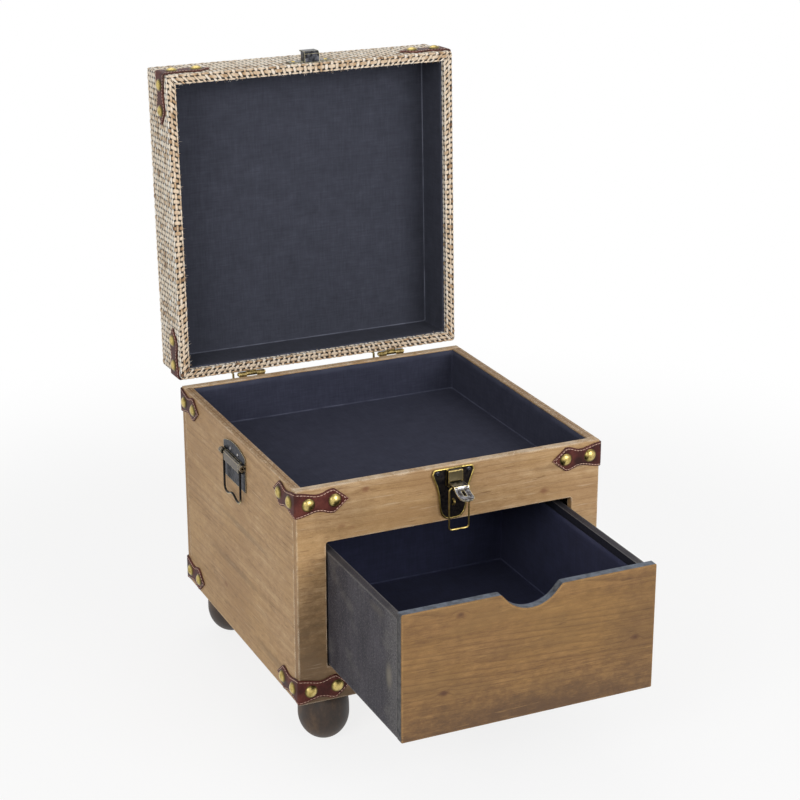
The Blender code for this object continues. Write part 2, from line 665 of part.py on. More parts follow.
def build_lid():
    """Everything on the lid, closed, in the frame of its hinge axis."""
    lid = empty("lid_axis", LID_HINGE)
    lid.rotation_euler.x = math.radians(-LID_OPEN_DEGREES)
    half = LID_WIDTH / 2
    top = LID_RIM + LID_DEPTH
    skin = COVER + GAP
    wood_x, wood_front, wood_rear = half - skin, LID_FRONT + skin, LID_REAR - skin
    wood_low, wood_top = LID_RIM + skin, top - skin
    rail_top = wood_top - LID_TOP_BOARD - GAP
    board("lid_top_board", (-wood_x, wood_front, wood_top - LID_TOP_BOARD),
          (wood_x, wood_rear, wood_top), PINE, lid)
    board("lid_front_rail", (-wood_x, wood_front, wood_low),
          (wood_x, wood_front + LID_RAIL, rail_top), PINE, lid)
    board("lid_back_rail", (-wood_x, wood_rear - LID_RAIL, wood_low),
          (wood_x, wood_rear, rail_top), PINE, lid)
    for side, name in ((-1, "lid_left_rail"), (1, "lid_right_rail")):
        near, far = sorted((side * (wood_x - LID_RAIL), side * wood_x))
        board(name, (near, wood_front + LID_RAIL + GAP, wood_low),
              (far, wood_rear - LID_RAIL - GAP, rail_top), PINE, lid)
    build_lid_cover(lid)
    build_lid_lining(lid, rail_top)
    for name, x, y, turns in (
        ("lid_strap_front_right", half, LID_FRONT, 0), ("lid_strap_rear_right", half, LID_REAR, 1),
        ("lid_strap_rear_left", -half, LID_REAR, 2), ("lid_strap_front_left", -half, LID_FRONT, 3),
    ):
        corner_strap(name, (x, y, LID_RIM + LID_STRAP_INSET), turns, lid)
    build_catch(lid)
    return lid


def build_lid_cover(lid):
    """Woven fabric over the top and sides, round the rim and turned in behind it."""
    outer = ((-LID_WIDTH / 2, LID_FRONT), (LID_WIDTH / 2, LID_REAR))
    lip = 2 * COVER + 2 * GAP + LID_RAIL
    top = LID_RIM + LID_DEPTH

    def loop(depth, height):
        return (*inset(*outer, depth), max(LID_CORNER - depth, BOARD_EASE), height)

    loops = [
        loop(COVER_ROUND, top), loop(0, top - COVER_ROUND), loop(0, LID_RIM + BOARD_EASE),
        loop(BOARD_EASE, LID_RIM), loop(lip - BOARD_EASE, LID_RIM), loop(lip, LID_RIM + BOARD_EASE),
        loop(lip, LID_RIM + COVER_RETURN), loop(lip - COVER, LID_RIM + COVER_RETURN),
        loop(lip - COVER, LID_RIM + COVER), loop(COVER, LID_RIM + COVER), loop(COVER, top - COVER),
    ]
    shell_of_loops("lid_cover", loops, WOVEN, lid)


def build_lid_lining(lid, rail_top):
    """Cloth on the inside of the lid, below the turned-in edge of the cover."""
    depth = COVER + 2 * GAP + LID_RAIL + GAP
    low, high = inset((-LID_WIDTH / 2, LID_FRONT), (LID_WIDTH / 2, LID_REAR), depth)
    lining_tray("lid_lining", low, high, rail_top - GAP, LID_RIM + COVER_RETURN + GAP,
                LINING_CLOTH, lid)


def build_catch(lid):
    """Hooked keeper on the front of the lid, with its two flanges."""
    wall = LID_FRONT - GAP
    rim = LID_RIM
    outline = (
        (wall, rim + CATCH_LOW), (wall - CATCH_PROUD + CATCH_CHAMFER, rim + CATCH_LOW),
        (wall - CATCH_PROUD, rim + CATCH_LOW + CATCH_CHAMFER), (wall - CATCH_PROUD, rim + CATCH_LIP_HIGH),
        (wall - CATCH_PROUD + CATCH_SHEET, rim + CATCH_LIP_HIGH),
        (wall - CATCH_PROUD + CATCH_SHEET, rim + CATCH_SEAT), (wall, rim + CATCH_SEAT),
    )
    catch = prism("lid_catch", outline, 'X', -CATCH_HALF_WIDTH, CATCH_HALF_WIDTH, ANTIQUE_BRASS, lid)
    flange = block("catch_flange_tool", (-CATCH_FLANGE_HALF, wall - CATCH_SHEET, rim + CATCH_FLANGE_LOW),
                   (CATCH_FLANGE_HALF, wall, rim + CATCH_FLANGE_HIGH), parent=lid)
    fuse(catch, flange)


def hinge_leaf(name, axis_x, plate_front, plate_sign, knuckles, finish, parent, at):
    """A leaf in the frame of the axis: plate up or down from it, its own knuckles bored."""
    half = HINGE_WIDTH / 2
    clear = KNUCKLE_RADIUS + GAP
    ends = sorted((plate_sign * clear, plate_sign * HINGE_LEAF_HEIGHT))
    plate_back = plate_front + HINGE_LEAF
    leaf = block(name, (-half, plate_front, ends[0]), (half, plate_back, ends[1]), finish, parent)
    leaf.location = Vector(at) + Vector((axis_x, 0, 0))
    for start, end in knuckles:
        web_ends = sorted((0, plate_sign * (clear + SEW)))
        web = block(name + "_web_tool", (start, plate_front, web_ends[0]),
                    (end, plate_back, web_ends[1]), None, parent)
        barrel = rod(name + "_barrel_tool", (0, 0), 'X', KNUCKLE_RADIUS, start, end, parent=parent)
        for tool in (web, barrel):
            tool.location = leaf.location
            fuse(leaf, tool)
    for start, end in knuckles:
        bore = rod(name + "_bore_tool", (0, 0), 'X', KNUCKLE_BORE, start - GAP / 2, end + GAP / 2,
                   parent=parent)
        bore.location = leaf.location
        cut(leaf, bore)
    return leaf


def add_stop_arm(leaf, parent, axis_x):
    """An arm past the axis that meets the back of the case when the lid is open."""
    half = HINGE_WIDTH / 2
    lean = math.radians(LID_OPEN_DEGREES - 90)
    face = -(HINGE_BACK - GAP - STOP_LENGTH * math.sin(lean)) / math.cos(lean)
    start, end = -half - STOP_OFFSET - STOP_WIDTH, -half - STOP_OFFSET
    leaf_front = LID_REAR + GAP
    leaf_back = leaf_front + HINGE_LEAF
    arm_front = -(HINGE_BACK - GAP) + SEW
    arm = block("stop_arm_tool", (start, arm_front, face), (end, STOP_LENGTH, face + STOP_THICKNESS),
                parent=parent)
    post = block("stop_post_tool", (start, leaf_front, face + STOP_THICKNESS / 2),
                 (end, leaf_back, STOP_TIE_HIGH), parent=parent)
    tie = block("stop_tie_tool", (start + SEW, leaf_front, STOP_TIE_LOW),
                (-half + SEW, leaf_back, STOP_TIE_HIGH - SEW), parent=parent)
    for tool in (tie, post, arm):
        tool.location = (axis_x, 0, 0)
        fuse(leaf, tool)


def build_hinges(lid):
    half = HINGE_WIDTH / 2
    outer = HINGE_WIDTH * HINGE_KNUCKLE_SHARE
    for side, name in ((-1, "left"), (1, "right")):
        axis_x = side * HINGE_SPREAD / 2
        hinge_leaf(f"hinge_case_leaf_{name}", axis_x, -HINGE_BACK + GAP, -1,
                   ((-half, -half + outer), (half - outer, half)), BRIGHT_BRASS, None, LID_HINGE)
        inner = half - outer - GAP
        leaf = hinge_leaf(f"hinge_lid_leaf_{name}", axis_x, LID_REAR + GAP, 1, ((-inner, inner),),
                          BRIGHT_BRASS, lid, (0, 0, 0))
        add_stop_arm(leaf, lid, axis_x)
        pin = rod(f"hinge_pin_{name}", (0, 0), 'X', HINGE_PIN_RADIUS, -half - GAP - SEW,
                  half + GAP + SEW, finish=BRIGHT_BRASS)
        pin.location = LID_HINGE + Vector((axis_x, 0, 0))
        for end in (-1, 1):
            near, far = sorted((end * (half + GAP), end * (half + GAP + HINGE_PIN_HEAD)))
            head = rod("pin_head_tool", (0, 0), 'X', HINGE_PIN_HEAD_RADIUS, near, far)
            head.location = pin.location
            fuse(pin, head)


def build_latch():
    """Base plate with its housing, ears, pin and staple; the lever; the wire loop."""
    face = FRONT - GAP
    top = CASE_HEIGHT - LATCH_TOP
    right = [(LATCH_HALF_WIDTH * x, top - LATCH_HEIGHT * z) for x, z in LATCH_OUTLINE_SHARES]
    left = [(-x, z) for x, z in reversed(right)]
    plate = prism("latch_base_plate", right + left, 'Y', face - LATCH_PLATE, face, ANTIQUE_BRASS)
    ease(plate, LATCH_PLATE_EASE, segments=1)
    housing_low = CASE_HEIGHT - HOUSING_BOTTOM
    housing = block("housing_tool", (-HOUSING_HALF_WIDTH, FRONT - HOUSING_PROUD, housing_low),
                    (HOUSING_HALF_WIDTH, face - LATCH_PLATE + SEW, CASE_HEIGHT - HOUSING_TOP))
    fuse(plate, ease(housing, LATCH_PLATE_EASE))
    for side in (-1, 1):
        near, far = sorted((side * HOUSING_HALF_WIDTH, side * (HOUSING_HALF_WIDTH - EAR_THICKNESS)))
        ear = block("ear_tool", (near, FRONT - HOUSING_PROUD + LATCH_PLATE_EASE, housing_low - EAR_DROP),
                    (far, face - LATCH_PLATE + SEW, housing_low + LATCH_PLATE_EASE + SEW))
        fuse(plate, ear)
    ear_in = HOUSING_HALF_WIDTH - EAR_THICKNESS
    pin = rod("lever_pin_tool", LATCH_AXIS.yz, 'X', LEVER_PIN, -ear_in - SEW, ear_in + SEW)
    fuse(plate, pin)
    staple_height = LATCH_AXIS.z - LEVER_SLOT_AT
    half_ring = arc((face - LATCH_PLATE, staple_height), STAPLE_RADIUS, 1, 3, 8)
    inside = face - LATCH_PLATE + STAPLE_WIRE
    ends = ((inside, half_ring[0][1]), (inside, half_ring[-1][1]))
    path = [(0, y, z) for y, z in (ends[0], *half_ring, ends[1])]
    fuse(plate, staple_solid(path))
    lever = build_lever()
    build_loop(lever)


def staple_solid(path):
    """The staple as a mesh tube of square section along its path."""
    bm = bmesh.new()
    rings = []
    for k, spot in enumerate(path):
        before, after = Vector(path[max(k - 1, 0)]), Vector(path[min(k + 1, len(path) - 1)])
        along = (after - before).normalized()
        aside = Vector((1, 0, 0))
        outward = along.cross(aside)
        corners = ((-1, -1), (1, -1), (1, 1), (-1, 1))
        rings.append([
            bm.verts.new(Vector(spot) + STAPLE_WIRE * (a * aside + b * outward)) for a, b in corners
        ])
    for near, far in zip(rings, rings[1:]):
        for k in range(4):
            following = (k + 1) % 4
            bm.faces.new((near[k], near[following], far[following], far[k]))
    bm.faces.new(rings[0])
    bm.faces.new(rings[-1])
    return mesh_piece("staple_tool", bm)


def lever_centre_line():
    """Side view of the lever from its axis: flat arm, curved step, nearly flat tongue."""
    level = LEVER_BARREL - LEVER_SHEET / 2
    run = LEVER_REACH - LEVER_ARM
    step = [(-(LEVER_ARM + run * along), level - LEVER_DROP * down) for along, down in LEVER_STEP_SHARES]
    return [(0, level), *step]


def thicken(line, thickness):
    """A strip of even thickness about a line, as a closed outline."""
    upper, lower = [], []
    for k, spot in enumerate(line):
        before, after = Vector(line[max(k - 1, 0)]), Vector(line[min(k + 1, len(line) - 1)])
        along = (after - before).normalized()
        normal = Vector((-along.y, along.x)) * thickness / 2
        upper.append(tuple(Vector(spot) + normal))
        lower.append(tuple(Vector(spot) - normal))
    return upper + lower[::-1]


def build_lever():
    ear_in = HOUSING_HALF_WIDTH - EAR_THICKNESS
    half_inner = ear_in - GAP
    axis = empty("latch_lever_axis", LATCH_AXIS)
    strip = thicken(lever_centre_line(), LEVER_SHEET)
    lever = prism("latch_lever", strip, 'X', -LEVER_HALF_WIDTH, LEVER_HALF_WIDTH, ANTIQUE_BRASS, axis)
    cut(lever, lever_trim(axis, half_inner))
    seat = (-LOOP_SEAT, -LOOP_AXIS_DROP)
    for centre, radius in (((0, 0), LEVER_BARREL), (seat, LOOP_BARREL)):
        fuse(lever, rod("lever_barrel_tool", centre, 'X', radius, -half_inner, half_inner, parent=axis))
    for centre, bore in (((0, 0), LEVER_BORE), (seat, LOOP_BORE)):
        cut(lever, rod("lever_bore_tool", centre, 'X', bore, -LEVER_HALF_WIDTH - OVERRUN,
                       LEVER_HALF_WIDTH + OVERRUN, parent=axis))
    aside = STAPLE_WIRE + LEVER_SLOT_CLEARANCE
    along = STAPLE_RADIUS + STAPLE_WIRE + LEVER_SLOT_CLEARANCE
    slot = rounded_rectangle((-aside, -LEVER_SLOT_AT - along), (aside, -LEVER_SLOT_AT + along),
                             aside - SEW, steps=4)
    cut(lever, prism("lever_slot_tool", slot, 'Z', -LEVER_DROP - OVERRUN, 0, parent=axis))
    return axis


def lever_trim(axis, half_inner):
    """What is cut from the strip: beside the arm near the ears, and round the tongue's end."""
    width = LEVER_HALF_WIDTH + OVERRUN
    inner_end = -HOUSING_PROUD + LEVER_AXIS_PROUD - GAP
    tip = -LEVER_REACH
    round_end = arc((0, tip + LEVER_HALF_WIDTH), LEVER_HALF_WIDTH + SEW, 4, 2, 12)
    outline = [
        (-width, LEVER_BARREL + OVERRUN), (-half_inner, LEVER_BARREL + OVERRUN), (-half_inner, inner_end),
        (-LEVER_HALF_WIDTH - SEW, inner_end), (-LEVER_HALF_WIDTH - SEW, tip + LEVER_HALF_WIDTH),
        *[(x, y) for x, y in reversed(round_end)][1:-1],
        (LEVER_HALF_WIDTH + SEW, tip + LEVER_HALF_WIDTH), (LEVER_HALF_WIDTH + SEW, inner_end),
        (half_inner, inner_end), (half_inner, LEVER_BARREL + OVERRUN), (width, LEVER_BARREL + OVERRUN),
        (width, tip - OVERRUN), (-width, tip - OVERRUN),
    ]
    low = -LEVER_DROP - OVERRUN
    return prism("lever_trim_tool", outline, 'Z', low, LEVER_BARREL + OVERRUN, parent=axis)


def build_loop(lever):
    """The wire loop and the bush that it turns in."""
    axis = empty("latch_loop_axis", (0, -LOOP_SEAT, -LOOP_AXIS_DROP), lever)
    half = HOUSING_HALF_WIDTH - EAR_THICKNESS - GAP
    sleeve = rod("latch_loop_sleeve", (0, 0), 'X', SLEEVE_RADIUS, -half, half,
                 finish=BRIGHT_BRASS, parent=axis)
    cut(sleeve, rod("sleeve_bore_tool", (0, 0), 'X', SLEEVE_BORE, -half - OVERRUN, half + OVERRUN,
                    parent=axis))
    low, high = (-LOOP_HALF_WIDTH, -LOOP_LENGTH), (LOOP_HALF_WIDTH, 0)
    outline = rounded_rectangle(low, high, LOOP_CORNER, steps=4)
    path = [(x, 0, z) for x, z in outline]
    wire("latch_loop", path, LOOP_WIRE, ANTIQUE_BRASS, axis, closed=True)


def handle_outline():
    """Base plate of a handle: straight sides and a low arched top."""
    half = HANDLE_HALF_WIDTH
    low, high = HANDLE_AXIS_HEIGHT - HANDLE_BELOW_AXIS, HANDLE_AXIS_HEIGHT + HANDLE_ABOVE_AXIS
    points = [(-half, low), (half, low)]
    for k in range(HANDLE_ARCH_STEPS + 1):
        across = 1 - 2 * k / HANDLE_ARCH_STEPS
        points.append((half * across, high + HANDLE_ARCH * (1 - across ** 2)))
    return points


def build_handle(side, name):
    """A bail handle on a side board: plate, pressed band and two eyes, then the bail."""
    def span(near, far):
        return sorted((side * (SIDE + near), side * (SIDE + far)))

    start, end = span(GAP, GAP + HANDLE_PLATE)
    plate = prism(f"handle_plate_{name}", handle_outline(), 'X', start, end, DARK_STEEL)
    chamfer = HANDLE_BAND_CHAMFER
    low, high = HANDLE_AXIS_HEIGHT - HANDLE_BAND_BELOW, HANDLE_AXIS_HEIGHT + HANDLE_BAND_ABOVE
    proud = SIDE + HANDLE_BAND_PROUD
    root = SIDE + GAP + HANDLE_PLATE - SEW
    band = ((root, low), (proud - chamfer, low), (proud, low + chamfer),
            (proud, high - chamfer), (proud - chamfer, high), (root, high))
    flat = [(side * x, z) for x, z in band]
    fuse(plate, prism("band_tool", flat, 'Y', -HANDLE_BAND_HALF, HANDLE_BAND_HALF))
    axis_x = side * (SIDE + HANDLE_AXIS_PROUD)
    for end_sign in (-1, 1):
        near, far = sorted((end_sign * HANDLE_EYE_START, end_sign * HANDLE_HALF_WIDTH))
        web_x = sorted((side * root, axis_x))
        web = block("eye_web_tool", (web_x[0], near, HANDLE_AXIS_HEIGHT - EYE_WEB / 2),
                    (web_x[1], far, HANDLE_AXIS_HEIGHT + EYE_WEB / 2))
        fuse(plate, web)
        fuse(plate, rod("eye_tool", (axis_x, HANDLE_AXIS_HEIGHT), 'Y', EYE_RADIUS, near, far))
        cut(plate, rod("eye_bore_tool", (axis_x, HANDLE_AXIS_HEIGHT), 'Y', EYE_BORE,
                       near - OVERRUN, far + OVERRUN))
    axis = empty(f"handle_axis_{name}", (axis_x, 0, HANDLE_AXIS_HEIGHT))
    wire(f"handle_bail_{name}", bail_path(), BAIL_WIRE, DARK_STEEL, axis)


def bail_path():
    """Half the bail mirrored: stub in the eye, leg, rounded corner, grip with a raised middle."""
    span, drop, bend = BAIL_HALF_SPAN, BAIL_DROP, BAIL_BEND
    half = [(span + BAIL_STUB, 0)]
    half += arc((span + bend, -bend), bend, 1, 2, 3)
    half += arc((span - BAIL_CORNER, -drop + BAIL_CORNER), BAIL_CORNER, 0, -1, 5)
    bump = span * BAIL_BUMP_SHARE
    grip_end = span - BAIL_CORNER
    for k in range(1, BAIL_GRIP_STEPS // 2 + 1):
        y = grip_end * (1 - 2 * k / BAIL_GRIP_STEPS)
        rise = BAIL_RISE * (1 + math.cos(math.pi * min(y / bump, 1))) / 2
        half.append((y, -drop + rise))
    mirrored = [(-y, z) for y, z in reversed(half[:-1])]
    return [(0, y, z) for y, z in half + mirrored]


def stand_on_origin():
    """Moves the trunk so that the origin is under the middle of its box, on the floor."""
    bpy.context.view_layer.update()
    depsgraph = bpy.context.evaluated_depsgraph_get()
    spots = []
    for obj in bpy.context.scene.objects:
        if obj.type == 'EMPTY' or obj.hide_render:
            continue
        solid = obj.evaluated_get(depsgraph)
        spots += [solid.matrix_world @ vertex.co for vertex in solid.to_mesh().vertices]
        solid.to_mesh_clear()
    low, high = (Vector(pick(axis) for axis in zip(*spots)) for pick in (min, max))
    shift = Vector((-(low.x + high.x) / 2, -(low.y + high.y) / 2, -low.z))
    for obj in bpy.context.scene.objects:
        if obj.parent is None:
            obj.location += shift


def main():
    clear_scene()
    build_case()
    build_feet()
    build_runners()
    build_drawer()
    build_case_straps()
    lid = build_lid()
    build_hinges(lid)
    build_latch()
    build_handle(-1, "left")
    build_handle(1, "right")
    stand_on_origin()


main()
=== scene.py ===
import json
import math
from functools import partial

import bmesh
import bpy
import numpy as np
from mathutils import Matrix, Vector


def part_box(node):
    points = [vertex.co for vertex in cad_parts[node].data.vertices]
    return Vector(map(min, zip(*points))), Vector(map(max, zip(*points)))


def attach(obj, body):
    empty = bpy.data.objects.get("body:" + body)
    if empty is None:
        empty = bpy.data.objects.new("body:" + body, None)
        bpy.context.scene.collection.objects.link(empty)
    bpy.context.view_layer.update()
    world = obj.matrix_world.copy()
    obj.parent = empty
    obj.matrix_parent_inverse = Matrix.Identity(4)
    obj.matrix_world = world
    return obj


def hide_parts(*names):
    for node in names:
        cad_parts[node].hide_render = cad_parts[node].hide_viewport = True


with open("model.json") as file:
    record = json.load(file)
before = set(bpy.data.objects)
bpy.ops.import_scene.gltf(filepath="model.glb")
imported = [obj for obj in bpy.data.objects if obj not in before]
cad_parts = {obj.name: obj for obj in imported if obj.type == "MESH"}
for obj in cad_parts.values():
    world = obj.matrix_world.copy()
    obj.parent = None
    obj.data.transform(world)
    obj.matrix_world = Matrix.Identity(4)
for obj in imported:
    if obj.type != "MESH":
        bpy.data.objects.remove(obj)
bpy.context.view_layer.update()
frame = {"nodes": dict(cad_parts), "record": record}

mm = 0.001
print("frame loaded:", len(frame["nodes"]), "CAD nodes")


# Helpers for materials

modes = {"Math": "operation", "VectorMath": "operation", "MapRange": "interpolation_type",
         "Mix": "data_type"}


def linear(hexColour):
    channels = [int(hexColour[k:k + 2], 16) / 255 for k in (1, 3, 5)]
    return tuple(c / 12.92 if c <= 0.04045 else ((c + 0.055) / 1.055) ** 2.4 for c in channels) + (1.0,)


def addNode(tree, kind, *inputs, output=0, **named):
    # "Math ADD" is a node and its mode; inputs fill, in order, the sockets that this mode uses.
    # A name with a capital is an input too, ramp has stops of (place, colour), the rest are settings
    kind, _, mode = kind.partition(" ")
    node = tree.nodes.new("ShaderNode" + kind)
    if mode:
        setattr(node, modes[kind], mode)
    for name, value in named.items():
        if name == "ramp":
            while len(node.color_ramp.elements) < len(value):
                node.color_ramp.elements.new(0.5)
            for stop, (at, hexColour) in zip(node.color_ramp.elements, value):
                stop.position, stop.color = at, linear(hexColour)
        elif name[0].islower():
            setattr(node, name, value)
    filled = list(zip([socket for socket in node.inputs if socket.enabled], inputs))
    filled += [(node.inputs[name], value) for name, value in named.items() if name[0].isupper()]
    for socket, value in filled:
        if isinstance(value, bpy.types.NodeSocket):
            tree.links.new(value, socket)
        else:
            socket.default_value = linear(value) if isinstance(value, str) else value
    return [socket for socket in node.outputs if socket.enabled][output]


def startMaterial(name, **constants):
    # the material and addNode for its own tree
    material = bpy.data.materials.new(name)
    material.use_nodes = True
    for place, value in constants.items():
        material.node_tree.nodes["Principled BSDF"].inputs[place.replace("_", " ")].default_value = value
    return material, partial(addNode, material.node_tree)


def finishMaterial(material, look, colour, layers=(), relief=None, rough=None):
    # layers lie over the base colour, each as (share, name of its colour); relief is (pattern, depth,
    # strength), and rough is (pattern, roughness where it is low, roughness where it is high)
    tree = material.node_tree
    add, shader = partial(addNode, tree), tree.nodes["Principled BSDF"].inputs
    for share, name, *how in layers:
        colour = add("Mix RGBA", share, colour, look[name], blend_type=how[0] if how else "MIX")
    tree.links.new(colour, shader["Base Color"])
    if relief is not None:
        bump = add("Bump", Height=relief[0], Distance=relief[1], Strength=relief[2])
        tree.links.new(bump, shader["Normal"])
    if rough is not None:
        tree.links.new(add("MapRange", rough[0], 0.3, 0.7, rough[1], rough[2]), shader["Roughness"])
    return material


def tones(look, *places):
    return tuple(zip(places, (look["dark"], look["middle"], look["light"])))


def noiseAlong(add, place, scale, detail=3.0, roughness=0.55):
    # noise with its own scale on each axis, in patterns per metre
    return add("TexNoise", add("Mapping", place, Scale=scale), 1.0, detail, roughness)


def farFrom(add, place, spot, scale, pattern, ragged):
    # distance from a spot in shares of its size, ragged by a pattern
    away = add("VectorMath SUBTRACT", place, spot)
    away = add("VectorMath MULTIPLY", away, scale)
    return add("Math MULTIPLY_ADD", pattern, ragged, add("VectorMath LENGTH", away))


def edgeShare(add, radius, least=0.02, most=0.16):
    # 1 on edges and corners, 0 on open faces: a bevelled normal leaves the real one only there
    soft = add("Bevel", radius, samples=6)
    match = add("VectorMath DOT_PRODUCT", soft, add("NewGeometry", output=1))
    away = add("Math SUBTRACT", 1.0, match)
    return add("MapRange SMOOTHSTEP", away, least, most, 0.0, 1.0)


def facing(add, axis, sign, least, most):
    # share that grows as the surface turns to look along one of the object's own axes
    normal = add("VectorTransform", add("NewGeometry", output=1), vector_type="NORMAL",
                 convert_from="WORLD", convert_to="OBJECT")
    part = add("SeparateXYZ", normal, output=axis)
    return add("MapRange SMOOTHSTEP", part, sign * least, sign * most, 0.0, 1.0)


def dress(material, *names):
    for name in names:
        mesh = frame["nodes"][name].data
        mesh.materials.clear()
        mesh.materials.append(material)


# Helpers for shapes

def newObject(name, data, closed=True):
    # data is a camera, a lamp, or a bmesh that becomes a mesh; a closed one gets its faces turned outward
    if isinstance(data, bmesh.types.BMesh):
        bm, data = data, bpy.data.meshes.new(name)
        if closed:
            bmesh.ops.recalc_face_normals(bm, faces=bm.faces[:])
        bm.to_mesh(data)
        bm.free()
    obj = bpy.data.objects.new(name, data)
    bpy.context.collection.objects.link(obj)
    return obj


def makePiece(name, bm, material, body, replaced=(), placing=None, closed=True):
    obj = newObject(name, bm, closed)
    if placing is not None:
        obj.data.transform(placing)
    obj.data.shade_smooth()
    obj.data.materials.append(material)
    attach(obj, body)
    if replaced:
        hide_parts(*replaced)
    return obj


def standOn(spot, outward):
    # placing that turns +Z to look outward from a spot
    return Matrix.Translation(spot) @ Vector(outward).to_track_quat("Z", "Y").to_matrix().to_4x4()


def quarterTurn(count):
    return Matrix.Rotation(count * math.pi / 2, 4, "Z")


def runAlong(points):
    # length of a path up to each of its points
    return np.concatenate([[0], np.cumsum(np.linalg.norm(np.diff(points, axis=0), axis=1))])


def joinRings(bm, rings):
    # faces between rings of points and over open ends; a ring of one point closes by itself
    for near, far in zip(rings, rings[1:]):
        for k in range(max(len(near), len(far))):
            corners = (near[k % len(near)], near[(k + 1) % len(near)],
                       far[(k + 1) % len(far)], far[k % len(far)])
            bm.faces.new(list(dict.fromkeys(corners)))
    for ring in (rings[0][::-1], rings[-1]):
        if len(ring) > 1:
            bm.faces.new(ring)


def addTube(bm, path, radius, sides=6):
    # a capped tube along points; the radius may be a list
    points = [Vector(p) for p in path]
    radii = radius if hasattr(radius, "__len__") else [radius] * len(points)
    aside = (points[1] - points[0]).normalized().orthogonal().normalized()
    rings = []
    for k, spot in enumerate(points):
        way = (points[min(k + 1, len(points) - 1)] - points[max(k - 1, 0)]).normalized()
        aside = (aside - way * aside.dot(way)).normalized()
        up = way.cross(aside)
        turns = [2 * math.pi * j / sides for j in range(sides)]
        rings.append([bm.verts.new(spot + float(radii[k]) * (math.cos(t) * aside + math.sin(t) * up))
                      for t in turns])
    joinRings(bm, rings)


def addTurned(bm, profile, sides, placing):
    # (radius, height) points turned round Z; a point of radius 0 closes an end
    rings = []
    for radius, height in profile:
        angles = [2 * math.pi * k / sides for k in range(sides if radius else 1)]
        rings.append([bm.verts.new((radius * math.cos(a), radius * math.sin(a), height)) for a in angles])
    joinRings(bm, rings)
    bmesh.ops.transform(bm, matrix=placing, verts=[v for ring in rings for v in ring])


def roundedShading(obj, angle=35):
    # a modifier that smooths a CAD node's facets and keeps its sharp edges
    name = f"smoothUnder{angle}"
    group = bpy.data.node_groups.get(name)
    if group is None:
        group = bpy.data.node_groups.new(name, "GeometryNodeTree")
        for way in ("INPUT", "OUTPUT"):
            group.interface.new_socket("Geometry", in_out=way, socket_type="NodeSocketGeometry")
        start, faces, edges, fold, sharp, end = (group.nodes.new(kind) for kind in (
            "NodeGroupInput", "GeometryNodeSetShadeSmooth", "GeometryNodeSetShadeSmooth",
            "GeometryNodeInputMeshEdgeAngle", "FunctionNodeCompare", "NodeGroupOutput"))
        edges.domain = "EDGE"
        edges.inputs["Shade Smooth"].default_value = False
        sharp.inputs[1].default_value = math.radians(angle)
        for given, taken in ((start.outputs[0], faces.inputs["Geometry"]),
                             (faces.outputs[0], edges.inputs["Geometry"]),
                             (fold.outputs["Unsigned Angle"], sharp.inputs[0]),
                             (sharp.outputs[0], edges.inputs["Selection"]),
                             (edges.outputs[0], end.inputs[0])):
            group.links.new(given, taken)
    obj.modifiers.new("smooth", "NODES").node_group = group


# Camera, floor and light

camera = {
    "place": (-0.8288, -1.80636, 1.0377),   # fitted to the edges of the case, lid and drawer
    "turn": 0.4296,                         # radians to the right of straight ahead
    "tilt": 0.3508,                         # radians down
    "roll": -0.0006,
    "lens": 93.34,
    "sensor": 36.0,
}
turn, tilt = camera["turn"], camera["tilt"]
ahead = Vector((math.sin(turn) * math.cos(tilt), math.cos(turn) * math.cos(tilt), -math.sin(tilt)))
right = Vector((math.cos(turn), -math.sin(turn), 0))
aim = Matrix((right, right.cross(ahead), -ahead)).transposed().to_4x4()
cameraData = bpy.data.cameras.new("camera")
cameraData.lens = camera["lens"]
cameraData.sensor_width = camera["sensor"]
cameraData.sensor_fit = "HORIZONTAL"
scene = bpy.context.scene
scene.camera = newObject("camera", cameraData)
scene.camera.matrix_world = (Matrix.Translation(camera["place"]) @ aim
                             @ Matrix.Rotation(camera["roll"], 4, "Z"))
scene.view_settings.view_transform = "Standard"

studio = {
    "white": "#ffffff", "paper": "#f2f2f2",
    "ambient": 0.36,          # soft light from all round
    "floorSide": 9.0,
    "floorOwn": 0.82,         # share of the paper's white that is its own, so its shadow stays faint
    "floorFade": (0.55, 1.15),    # metres from the trunk over which that share grows to 1
    "lampsAim": (0, 0, 0.25),
    "lamps": (                # place, size, watts
        ((-2.1, -1.7, 1.5), 1.3, 31),
        ((0.9, -2.4, 1.3), 1.3, 38),
        ((0.1, 1.3, 2.4), 1.6, 9),
    ),
}


def seenPlainly(add):
    # 1 for what the camera sees, also in gloss and through glass
    rays = add("LightPath").node.outputs
    seen = add("Math MAXIMUM", rays["Is Camera Ray"], rays["Is Glossy Ray"])
    return add("Math MAXIMUM", seen, rays["Is Transmission Ray"])


world = bpy.data.worlds.new("studio")
scene.world = world
world.use_nodes = True
world.node_tree.nodes.clear()
add = partial(addNode, world.node_tree)
plain = add("Background", studio["white"], 1.0)
soft = add("Background", studio["white"], studio["ambient"])
backdrop = add("MixShader", seenPlainly(add), soft, plain)
add("OutputWorld", backdrop, output=slice(0))

for number, (place, size, watts) in enumerate(studio["lamps"]):
    lamp = bpy.data.lights.new(f"softbox{number}", "AREA")
    lamp.shape, lamp.size, lamp.energy = "SQUARE", size, watts
    lampObject = newObject(lamp.name, lamp)
    lampObject.location = place
    towards = Vector(studio["lampsAim"]) - Vector(place)
    lampObject.rotation_euler = towards.to_track_quat("-Z", "Y").to_euler()

